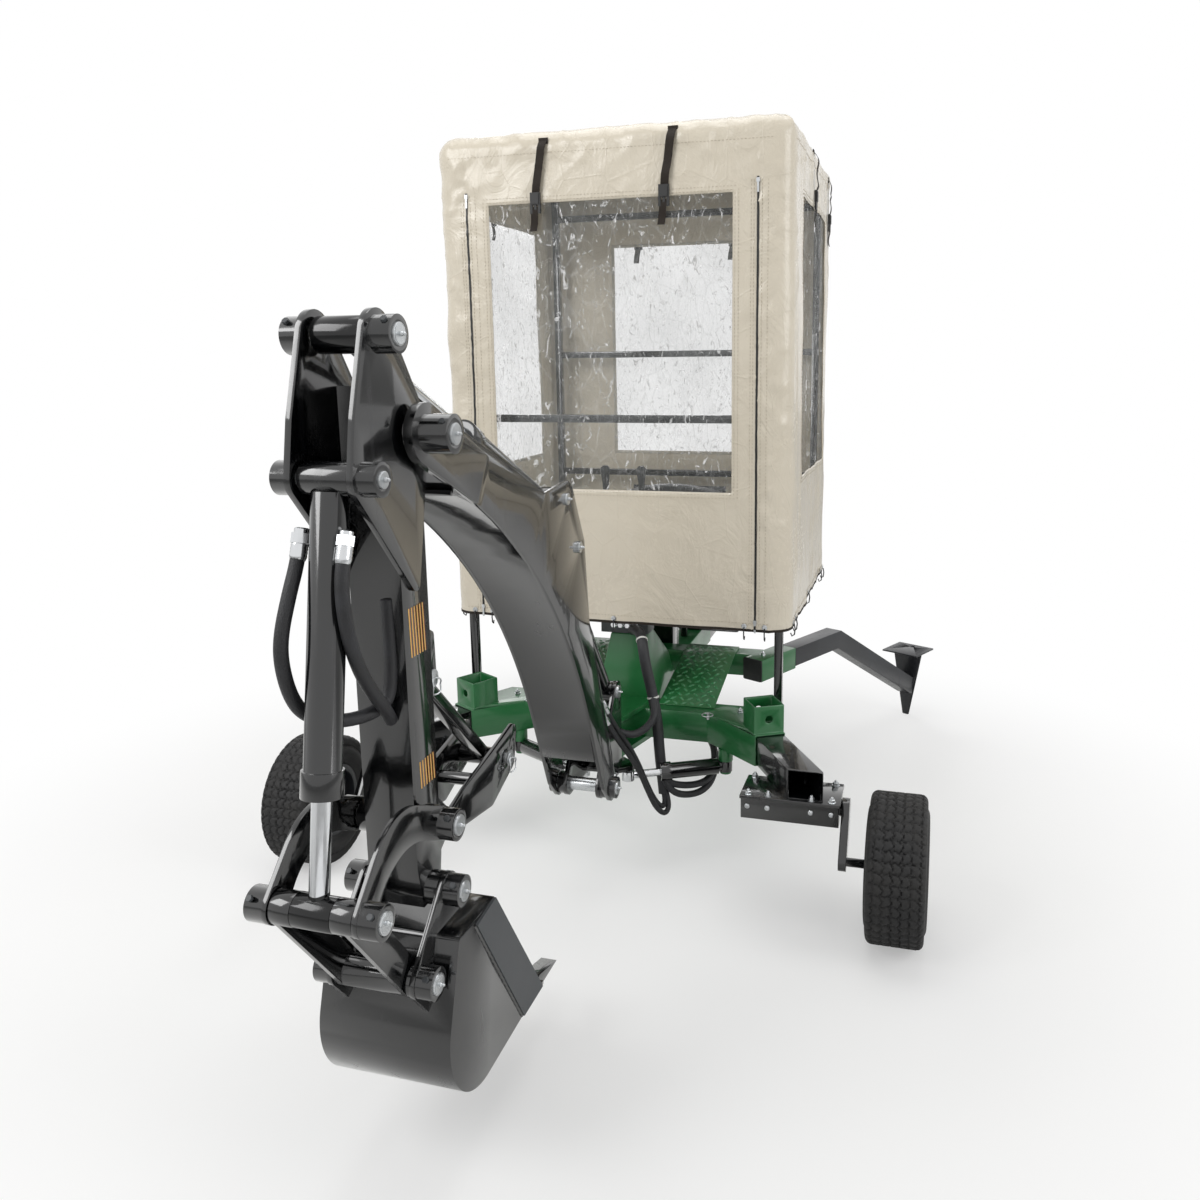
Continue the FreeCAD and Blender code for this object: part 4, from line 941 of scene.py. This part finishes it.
def makeLevers():
    shafts, grips = Shape(), Shape()
    for x in leverSet["places"]:
        foot, bend, neck, top = at(x, 200, 768), at(x, 200, 800), at(x, 178, 1176), at(x, 174, 1258)
        shafts.tube([foot, bend, neck + (top - neck) * 0.2], leverSet["shaft"], 14)
        lean = top - neck
        size = leverSet["grip"]
        profile = [(0.45, 0), (0.62, 0.04), (0.66, 0.3), (0.86, 0.62), (1.0, 0.82), (0.9, 0.93), (0.5, 1.0)]
        grips.turned([(r * size, h * lean.length) for r, h in profile], facing(neck, lean), 24)
        collar = [(0.016, 0), (0.020, 0.004), (0.014, 0.010), (0.017, 0.015), (0.012, 0.022),
                  (0.0145, 0.026), (0.008, 0.034)]
        grips.turned(collar, facing(at(x, 200, 769), (0, 0, 1)), 20)
    first = shafts.make("leverShafts", chromeRod, "chassis", "chrome")
    grips.make("leverGrips", plastic, "chassis", "black_plastic")
    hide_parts("levers")


makeLevers()

# Tyres: turf tread of wavy blocks round a smooth carcass

tyreSet = {"around": 300, "pitches": 44, "deep": 0.0065, "crown": 0.206, "half": 0.084}


def tyreProfile():
    # (across, radius, tread share) from one bead over the crown to the other
    half, crown = tyreSet["half"], tyreSet["crown"]
    side = []
    for k in range(9):
        angle = math.radians(-55 + k * 14)
        side.append((half - 0.030 + 0.0295 * math.cos(angle), 0.150 + 0.0295 * math.sin(angle), 0.0))
    bead = [(0.0655, 0.1022, 0.0), (0.0658, 0.114, 0.0)]
    shoulder = [(half - 0.026 + 0.0195 * math.cos(math.radians(a)),
                 crown - 0.020 + 0.0195 * math.sin(math.radians(a)),
                 max(0.0, (a - 5) / 60)) for a in (4, 22, 40, 55, 68, 80)]
    right = bead + side + shoulder
    inner = half - 0.026
    flat = [(inner - k * 2 * inner / 30, crown - 0.0005, 1.0) for k in range(31)]
    left = [(-a, r, t) for a, r, t in reversed(right)]
    return right + flat + left


def blockHeight(turn, across):
    # 1 on a tread block, 0 in a groove: wavy rows of small blocks, offset from row to row
    rows = 7
    half = tyreSet["half"]
    waveSide = 0.0042 * math.sin(turn * tyreSet["pitches"])
    place = (across + waveSide + half) / (2 * half) * rows
    row = math.floor(place)
    within = place - row
    along = turn * tyreSet["pitches"] / (2 * math.pi) + (0.5 if row % 2 else 0.0)
    along += 0.32 * math.sin(within * math.pi) * (1 if row % 2 else -1)
    part = along - math.floor(along)
    wall = min(within, 1 - within) / 0.13
    end = min(part, 1 - part) / 0.15
    return max(0.0, min(1.0, wall, end))


def makeTyre(word, sign):
    low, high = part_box("tyre_" + word)
    centre = (low + high) / 2
    centre.z = tyreSet["crown"]
    profile = tyreProfile()
    count = tyreSet["around"]
    points = []
    for k in range(count):
        turn = 2 * math.pi * k / count
        for across, radius, share in profile:
            size = radius - tyreSet["deep"] * share * (1 - blockHeight(turn, across))
            if 0.136 < radius < 0.176 and share == 0:
                size += 0.0006 * math.sin(radius * 900)
            points.append(centre + Vector((across * sign, size * math.cos(turn), size * math.sin(turn))))
    wide = len(profile)
    faces = []
    for k in range(count):
        for m in range(wide):
            a, b = k * wide + m, k * wide + (m + 1) % wide
            c = ((k + 1) % count) * wide
            ring = (a, b, c + (m + 1) % wide, c + m)
            faces.append(ring if sign > 0 else ring[::-1])
    piece = addMesh("turfTyre_" + word, points, faces, rubber, "wheel_" + word, 46)
    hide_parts("tyre_" + word)
    valve = Shape()
    valve.tube([centre + Vector((sign * 0.045, 0.078, 0)), centre + Vector((sign * 0.064, 0.072, 0))],
               0.004, 10)
    for k in range(4):
        angle = math.pi / 2 * k + 0.4
        place = centre + Vector((sign * 0.006, 0.044 * math.cos(angle), 0.044 * math.sin(angle)))
        valve.turned(hexHead(0.009, 0.007), facing(place, (sign, 0, 0)), 6)
    valve.turned([(0.019, 0), (0.02, 0.004), (0.017, 0.010), (0.008, 0.013)],
                 facing(centre + Vector((sign * 0.033, 0, 0)), (sign, 0, 0)), 24)
    valve.make("wheelFixings_" + word, zincPlate, "wheel_" + word, "zinc")


def hexHead(radius, height):
    return [(radius, 0), (radius, height * 0.85), (radius * 0.86, height)]


for word, sign in (("left", -1), ("right", 1)):
    makeTyre(word, sign)
print("tyres moulded")

# Bolts, nipples, rings and caps

bracketBolts = {"across": (-120, -62, 62, 120), "depth": (-60, 60)}


def nutAndBolt(shape, place, direction, size, thread=0.006):
    # washer, nut and the thread's end
    spot = facing(place, direction, random.random())
    shape.turned([(size * 1.25, 0), (size * 1.25, 0.0016)], spot, 20)
    shape.turned([(size, 0.0016), (size, 0.0016 + size * 0.85), (size * 0.85, 0.0016 + size)], spot, 6)
    shape.turned([(size * 0.5, 0.001), (size * 0.5, size + thread), (size * 0.36, size + thread + 0.0015)],
                 spot, 14)


def boxBolts():
    bolts = Shape()
    for sign in (-1, 1):
        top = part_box("axle_boxes")[1].z
        for across in bracketBolts["across"]:
            for depth in bracketBolts["depth"]:
                place = at(sign * 614 + across, -225 + depth, 0)
                place.z = top
                nutAndBolt(bolts, place, (0, 0, 1), 0.009)
        for across in bracketBolts["across"]:
            place = at(sign * 614 + across, 0, 0)
            place.y, place.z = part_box("axle_boxes")[0].y, top - 0.03
            bolts.turned([(0.008, 0), (0.0075, 0.003), (0.005, 0.005)], facing(place, (0, -1, 0)), 14)
    bolts.make("axleBoxBolts", zincPlate, "chassis", "zinc")


# where pins end, as (body, y, z, outer face from the centre plane, radius)
pinEnds = [
    ("boom", -1345, 1479, 153, 20), ("boom", -306, 348, 106, 20), ("boom", -541, 1122, 91, 15),
    ("boom", -624, 1261, 91, 15), ("dipper", -1442, 1652, 107, 20), ("dipper", -1508, 1415, 101, 15),
    ("dipper", -1351, 734, 126, 20), ("dipper", -1342, 592, 126, 20), ("guide_links", -1629, 694, 129, 20),
    ("bucket", -1462, 471, 126, 20), ("swing_post", -140, 588, 62, 20),
]


def pinDetails():
    # a snap ring and a grease nipple at each pin's end
    shapes = {}
    for body, y, z, face, radius in pinEnds:
        shape = shapes.setdefault(body, Shape())
        for sign in (-1, 1):
            end = at(sign * face, y, z)
            out = (sign, 0, 0)
            size = radius / 1000
            shape.turned([(size * 0.86, -0.0006), (size * 0.86, 0.0008), (size * 0.7, 0.0008)],
                         facing(end, out), 28)
            shape.turned([(0.0042, 0), (0.0042, 0.004), (0.0026, 0.006), (0.0034, 0.008), (0.0018, 0.0105)],
                         facing(end, out), 12)
    for body, shape in shapes.items():
        shape.make("pinNipples_" + body, zincPlate, body, "zinc")


def lockBolts():
    # small bolts through the bosses beside the pins
    shapes = {}
    for body, y, z, face, radius in pinEnds:
        if radius < 20 or body == "swing_post":
            continue
        shape = shapes.setdefault(body, Shape())
        for sign in (-1, 1):
            side = at(sign * (face - 14), y - 24, z + 22)
            shape.turned(hexHead(0.0065, 0.006), facing(side, (0, -0.74, 0.67)), 6)
    for body, shape in shapes.items():
        shape.make("lockBolts_" + body, castGrey, body, "cast_grey")


def thumbPinDetails():
    # ring-pull pins with their bails on the thumb
    rings = Shape()
    for y, z, face in ((-985, 715, 70), (-1262, 690, 70), (-1268, 993, 42)):
        for sign in (-1, 1):
            rings.turned([(0.0185, 0), (0.0185, 0.003), (0.0155, 0.003)],
                         facing(at(sign * (face - 4), y, z), (sign, 0, 0)), 22)
        centre = at(face - 2, y, z - 16)
        loop = [centre + Vector((0.005 + 0.003 * math.sin(k * 0.9), 0.017 * math.cos(k * math.pi / 9),
                                 0.017 * math.sin(k * math.pi / 9))) for k in range(18)]
        rings.tube(loop + [loop[0]], 0.0017, 8)
    rings.make("thumbRings", zincPlate, "dipper", "zinc")


def frameFixings():
    # ring-pull pins and clamp bolts on the sleeves, sockets and wings
    metal, black = Shape(), Shape()
    turn = math.radians(26.5)
    for sign in (-1, 1):
        for reach in (60, 160):
            place = at(sign * (379 + reach * math.sin(turn)), 455 + reach * math.cos(turn), 538)
            nutAndBolt(metal, place, (0, 0, 1), 0.008)
        bolt = at(sign * 395, 118, 458)
        nutAndBolt(metal, bolt, (0, 0, 1), 0.008)
        loopPlace = at(sign * 306, 30, 458) + Vector((0, 0, 0.006))
        metal.tube([loopPlace - Vector((0, 0, 0.006)), loopPlace + Vector((0, 0, 0.012))], 0.006, 12)
        loop = [loopPlace + Vector((0.018 * math.cos(k * math.pi / 9),
                                    0.018 * math.sin(k * math.pi / 9) - 0.01, 0.012))
                for k in range(18)]
        metal.tube(loop + [loop[0]], 0.0018, 8)
    metal.make("framePins", zincPlate, "chassis", "zinc")


boxBolts()
pinDetails()
lockBolts()
thumbPinDetails()
frameFixings()
print("fixings set")

# Tread plates: raised lens-shaped lugs, turned from row to row

lugSet = {"pitch": 0.029, "long": 0.0135, "wide": 0.0052, "high": 0.0026}


def treadLugs():
    lugs = Shape()
    start, middle, end = at(0, 125, 460.3 + 2), at(0, 498, 540.3 + 2), at(0, 580, 540.3 + 2)
    slopes = [(start, middle), (middle, end)]
    pitch = lugSet["pitch"]
    for side in (-1, 1):
        row = 0
        for first, last in slopes:
            along = (last - first).normalized()
            out = Vector((1, 0, 0)).cross(along).normalized()
            for k in range(int((last - first).length / pitch)):
                row += 1
                for m in range(6):
                    x = side * (0.126 + pitch * (m + 0.5 * (row % 2)))
                    centre = first + along * (pitch * (k + 0.5)) + Vector((x, 0, 0))
                    angle = math.radians(45 if (m + row) % 2 else -45)
                    direction = Vector((1, 0, 0)) * math.cos(angle) + along * math.sin(angle)
                    across = out.cross(direction)
                    edge = []
                    for point in range(10):
                        bend = 2 * math.pi * point / 10
                        edge.append(centre + direction * (lugSet["long"] * math.cos(bend))
                                    + across * (lugSet["wide"] * math.sin(bend)))
                    inner = [centre + (p - centre) * 0.55 + out * lugSet["high"] for p in edge]
                    faces = [(n, (n + 1) % 10, 10 + (n + 1) % 10, 10 + n)
                             for n in range(10)] + [tuple(range(10, 20))]
                    lugs.add(edge + inner, faces)
    # lugs in the lighter green: partly worn paint, partly painted highlight
    lugs.make("treadLugs", greenWornAndHighlit, "chassis", "green_paint")


treadLugs()

# Stripes on the dipper's right and left faces, in place of its label: plain bars only

stripeSet = {"face": 53.15, "thick": 0.35, "bars": 6, "wide": 5.2, "step": 10.2,
             "spans": ((1160, 1066), (858, 804))}


def dipperStripes():
    # gold bars along the dipper, each with a thin orange edge, over and under where the label was
    gold, orange = Shape(), Shape()
    for side in (-1, 1):
        inner, outer = stripeSet["face"] * side, (stripeSet["face"] + stripeSet["thick"]) * side
        for high, low in stripeSet["spans"]:
            shift = (1160 - high) * 0.034
            for k in range(stripeSet["bars"]):
                near = -1374 + shift + k * stripeSet["step"]
                far = near + stripeSet["wide"]
                slant = (high - low) * 0.034
                for shape, first, last in ((gold, near, far - 1.6), (orange, far - 1.2, far)):
                    points = [at(x, y, z) for x in (inner, outer)
                              for y, z in ((first, high), (last, high), (last + slant, low),
                                           (first + slant, low))]
                    faces = [(0, 1, 2, 3), (7, 6, 5, 4), (0, 4, 5, 1), (1, 5, 6, 2), (2, 6, 7, 3),
                             (3, 7, 4, 0)]
                    shape.add(points, faces if side < 0 else [face[::-1] for face in faces])
    gold.make("stripeBarsGold", stripeGold, "dipper", "arm_paint")
    orange.make("stripeBarsOrange", stripeOrange, "dipper", "arm_paint")


dipperStripes()
print("stripes laid")

# Wear plates on the bucket's sides

platesSet = {"face": 140, "thick": 6, "outline": ((-1338, 519), (-1250, 530), (-1022, 178), (-1132, 178))}


def bucketPlates():
    plates, beads = Shape(), Shape()
    for side in (-1, 1):
        inner, outer = side * platesSet["face"], side * (platesSet["face"] + platesSet["thick"])
        points = [at(x, y, z) for x in (inner, outer) for y, z in platesSet["outline"]]
        faces = [(0, 1, 2, 3), (7, 6, 5, 4), (0, 4, 5, 1), (1, 5, 6, 2), (2, 6, 7, 3), (3, 7, 4, 0)]
        plates.add(points, faces if side > 0 else [face[::-1] for face in faces])
        rear = [Vector(points[3]), Vector(points[0])]
        steps = 34
        line = [rear[0].lerp(rear[1], k / steps) + Vector((side * 0.001 * (k % 2), -0.0015, 0))
                for k in range(steps + 1)]
        beads.tube(line, 0.0032, 8)
    plates.make("bucketWearPlates", castGrey, "bucket", "arm_paint")
    beads.make("bucketPlateWelds", armGloss, "bucket", "arm_paint")


bucketPlates()

# Hydraulic hoses

hoseSet = {"slim": 0.0085, "bundle": 0.0175, "bucket": 0.0125}


def centreLine(route, name):
    # the points of the smooth line that the route's NURBS spline gives
    data = bpy.data.curves.new(name + "Line", "CURVE")
    data.dimensions = "3D"
    spline = data.splines.new("NURBS")
    spline.points.add(len(route) - 1)
    for point, place in zip(spline.points, route):
        point.co = (*place, 1)
    spline.order_u = 3
    spline.use_endpoint_u = True
    data.resolution_u = 10
    guide = bpy.data.objects.new(name + "Line", data)
    scene.collection.objects.link(guide)
    bpy.context.view_layer.update()
    drawn = bpy.data.meshes.new_from_object(guide)
    line = [vertex.co.copy() for vertex in drawn.vertices]
    bpy.data.objects.remove(guide)
    bpy.data.meshes.remove(drawn)
    return line


def lengthOf(line):
    return sum((b - a).length for a, b in zip(line, line[1:]))


def hose(name, route, radius, finish, length, body=None, bend=None, ends=()):
    # a hose along its route; it rides on one body, or, when a bend is given, stays unattached in the frame
    line = centreLine([at(*point) for point in route], name)
    form = Shape()
    form.tube(line, radius, 14)
    piece = form.make(name, finish, body, "black_plastic", 60)
    if bend:
        at(*bend[2])
        at(*bend[3])
        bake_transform(piece)
    print(name, round(lengthOf(line), 3), length)
    return line


def fitting(shape, place, direction, radius):
    # crimped ferrule, nut and adapter at a hose's end; the direction points into the hose
    spot = facing(place, direction)
    shape.turned([(radius * 0.9, -0.022), (radius * 1.05, -0.02), (radius * 1.05, -0.012)], spot, 16)
    shape.turned([(radius * 1.42, -0.013), (radius * 1.42, 0.004), (radius * 1.2, 0.006)], spot, 6)
    ripple = [(radius * (1.22 + 0.05 * (k % 2)), 0.005 + 0.003 * k) for k in range(9)]
    shape.turned(ripple + [(radius * 1.08, 0.034)], spot, 18)


hoseRoutes = {
    "valveBundle": [(30, 116, 716), (50, 88, 727), (80, 44, 724), (96, 6, 700), (109, -4, 631),
                    (133, -10, 540),
                    (151, -20, 447), (159, -30, 354), (172, -40, 262), (177, -46, 224)],
    "bucketHoseLeft": [(-50, -1531, 1318), (-52, -1541, 1280), (-55, -1568, 1226), (-60, -1592, 1160),
                       (-61, -1594, 1110),
                       (-58, -1580, 1050), (-48, -1558, 1012), (-22, -1506, 984), (4, -1450, 978),
                       (20, -1406, 990),
                       (24, -1394, 1040), (22, -1390, 1110), (20, -1388, 1180)],
    "bucketHoseRight": [(42, -1541, 1318), (42, -1555, 1280), (44, -1566, 1229), (44, -1557, 1162),
                        (40, -1526, 1094),
                        (34, -1480, 1036), (26, -1426, 984), (18, -1396, 952)],
    "swingHoseUpper": [(164, -38, 330), (176, -54, 300), (196, -54, 264), (230, -24, 246), (266, 8, 238),
                       (296, 40, 240),
                       (312, 68, 256), (316, 92, 300), (306, 106, 350), (282, 112, 388)],
    "swingHoseLower": [(172, -46, 300), (188, -60, 262), (214, -46, 226), (250, -8, 208), (286, 30, 208),
                       (312, 66, 232),
                       (322, 94, 290), (304, 110, 350), (270, 118, 388)],
    "boomHoseUpper": [(170, -44, 254), (180, -50, 222), (186, -68, 196), (178, -92, 196), (158, -112, 236),
                      (138, -122, 292), (116, -132, 356), (94, -156, 420), (74, -194, 478),
                      (62, -240, 540), (54, -276, 594)],
    "boomHoseLower": [(178, -46, 250), (192, -54, 216), (200, -74, 184), (190, -98, 176), (168, -118, 208),
                      (148, -128, 260), (126, -138, 324), (102, -164, 388), (82, -200, 442),
                      (68, -246, 504), (56, -284, 562)],
    "postHose": [(133, -14, 536), (152, -44, 506), (146, -68, 468), (112, -96, 440), (80, -120, 440),
                 (56, -128, 452)],
}


def makeHoses():
    metal = {"bucket_cylinder_barrel": Shape(), "chassis": Shape(), "boom": Shape()}
    bundle = hose("valveBundle", hoseRoutes["valveBundle"], hoseSet["bundle"], sleeveCloth, 0.62,
                  bend=("chassis", "swing_post", (100, 0, 660), (160, -30, 340)))
    ride = ("bucket_cylinder_barrel", "dipper", (0, -1541, 1280), (0, -1430, 1010))
    left = hose("bucketHoseLeft", hoseRoutes["bucketHoseLeft"], hoseSet["bucket"], sleeveCloth, 0.68,
                bend=ride)
    right = hose("bucketHoseRight", hoseRoutes["bucketHoseRight"], hoseSet["bucket"], sleeveCloth, 0.42,
                 bend=ride)
    for line in (left, right):
        fitting(metal["bucket_cylinder_barrel"], line[0] + (line[1] - line[0]).normalized() * 0.006,
                line[1] - line[0], 0.0115)
    for name, length in (("swingHoseUpper", 0.40), ("swingHoseLower", 0.42)):
        hose(name, hoseRoutes[name], 0.011, sleeveCloth, length, body="chassis")
    for name in ("boomHoseUpper", "boomHoseLower"):
        line = hose(name, hoseRoutes[name], hoseSet["slim"], hoseBlack, 0.55,
                    bend=("swing_post", "boom", (150, -60, 260), (76, -200, 500)))
        fitting(metal["boom"], line[-1] + (line[-2] - line[-1]).normalized() * 0.006, line[-2] - line[-1],
                hoseSet["slim"])
    hose("postHose", hoseRoutes["postHose"], 0.012, sleeveCloth, 0.2, body="swing_post")
    ties = Shape()
    for share in (0.26, 0.58):
        spot = bundle[int(share * (len(bundle) - 1))]
        after = bundle[int(share * (len(bundle) - 1)) + 1]
        place = facing(spot, after - spot)
        radius = hoseSet["bundle"] + 0.0008
        ties.turned([(radius, -0.003), (radius + 0.0012, -0.002), (radius + 0.0012, 0.002),
                     (radius, 0.003)], place, 24)
    tie = ties.make("hoseTies", tieWhite, None, "black_plastic")
    at(100, 0, 660)
    at(160, -30, 340)
    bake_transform(tie)
    for x in (-36, -12, 12, 36):
        place = at(x, 131, 730)
        metal["chassis"].turned([(0.012, 0), (0.012, 0.010), (0.009, 0.012), (0.009, 0.022)],
                                facing(place, (0, -1, 0)), 6)
    for body, shape in metal.items():
        shape.make("hoseFittings_" + body, chromeRod, body, "chrome")


makeHoses()
print("hoses routed")

# Stage and light

stageSet = {"floor": 30.0, "pale": "#fafaf9", "middle": (0, -0.3, 0), "fade": (1.25, 2.7), "lift": 0.4}


def whiteFarAway(pale):
    # towards the camera the floor turns to the background's white, away from the object's shadow
    nodes, links = pale.material.node_tree.nodes, pale.material.node_tree.links
    surface = next(n for n in nodes if n.type == "BSDF_PRINCIPLED")
    output = next(n for n in nodes if n.type == "OUTPUT_MATERIAL")
    place = nodes.new("ShaderNodeNewGeometry")
    apart = nodes.new("ShaderNodeVectorMath")
    apart.operation = "DISTANCE"
    apart.inputs[1].default_value = stageSet["middle"]
    links.new(place.outputs["Position"], apart.inputs[0])
    fade = nodes.new("ShaderNodeMapRange")
    fade.interpolation_type = "SMOOTHSTEP"
    fade.inputs[1].default_value, fade.inputs[2].default_value = stageSet["fade"]
    fade.inputs[3].default_value = stageSet["lift"]
    links.new(apart.outputs["Value"], fade.inputs[0])
    sight = nodes.new("ShaderNodeLightPath")
    both = nodes.new("ShaderNodeMath")
    both.operation = "MULTIPLY"
    links.new(fade.outputs[0], both.inputs[0])
    links.new(sight.outputs["Is Camera Ray"], both.inputs[1])
    white = nodes.new("ShaderNodeEmission")
    white.inputs["Color"].default_value = (1, 1, 1, 1)
    blend = nodes.new("ShaderNodeMixShader")
    links.new(both.outputs[0], blend.inputs[0])
    links.new(surface.outputs[0], blend.inputs[1])
    links.new(white.outputs[0], blend.inputs[2])
    links.new(blend.outputs[0], output.inputs["Surface"])


def makeStage():
    pale = Finish("floorPale", Roughness=0.85)
    shade = pale.cloud(0.6, 3)
    pale.feed("Base Color", pale.mix(shade * 0.25, paint(stageSet["pale"]), paint("#e9e9e6")))
    whiteFarAway(pale)
    reach = stageSet["floor"]
    data = bpy.data.meshes.new("floor")
    data.from_pydata([(-reach, -reach, 0), (reach, -reach, 0), (reach, reach, 0), (-reach, reach, 0)], [],
                     [(0, 1, 2, 3)])
    data.materials.append(pale.material)
    floor = bpy.data.objects.new("floor", data)
    scene.collection.objects.link(floor)


def makeWorld():
    world = bpy.data.worlds.new("paleRoom")
    world.use_nodes = True
    tree = world.node_tree
    background = tree.nodes["Background"]
    background.inputs["Color"].default_value = (1, 1, 1, 1)
    path = tree.nodes.new("ShaderNodeLightPath")
    seen = tree.nodes.new("ShaderNodeMath")
    seen.operation = "MAXIMUM"
    also = tree.nodes.new("ShaderNodeMath")
    also.operation = "MAXIMUM"
    level = tree.nodes.new("ShaderNodeMapRange")
    level.inputs[3].default_value = 0.4
    level.inputs[4].default_value = 1.0
    tree.links.new(path.outputs["Is Camera Ray"], seen.inputs[0])
    tree.links.new(path.outputs["Is Transmission Ray"], seen.inputs[1])
    tree.links.new(seen.outputs[0], also.inputs[0])
    tree.links.new(path.outputs["Is Glossy Ray"], also.inputs[1])
    tree.links.new(also.outputs[0], level.inputs[0])
    tree.links.new(level.outputs[0], background.inputs["Strength"])
    scene.world = world


lamps = [
    # name, place, aimed at, width, height, power
    ("keyLamp", (-2.6, -3.6, 3.9), (0, 0, 0.8), 2.4, 2.4, 105),
    ("sideLamp", (4.2, -1.2, 2.6), (0, 0, 0.9), 2.0, 2.6, 55),
    ("topLamp", (0.0, 0.4, 5.2), (0, 0, 0), 3.2, 3.2, 60),
    ("backLamp", (-1.6, 4.4, 3.0), (0, 0, 1.0), 2.4, 2.0, 50),
]


def makeLamps():
    for name, place, aim, width, height, power in lamps:
        data = bpy.data.lights.new(name, "AREA")
        data.shape = "RECTANGLE"
        data.size = width
        data.size_y = height
        data.energy = power
        lamp = bpy.data.objects.new(name, data)
        scene.collection.objects.link(lamp)
        lamp.matrix_world = facing(Vector(place), Vector(place) - Vector(aim))


makeStage()
makeWorld()
makeLamps()
scene.view_settings.view_transform = "Standard"
print("stage lit")

print("ready")
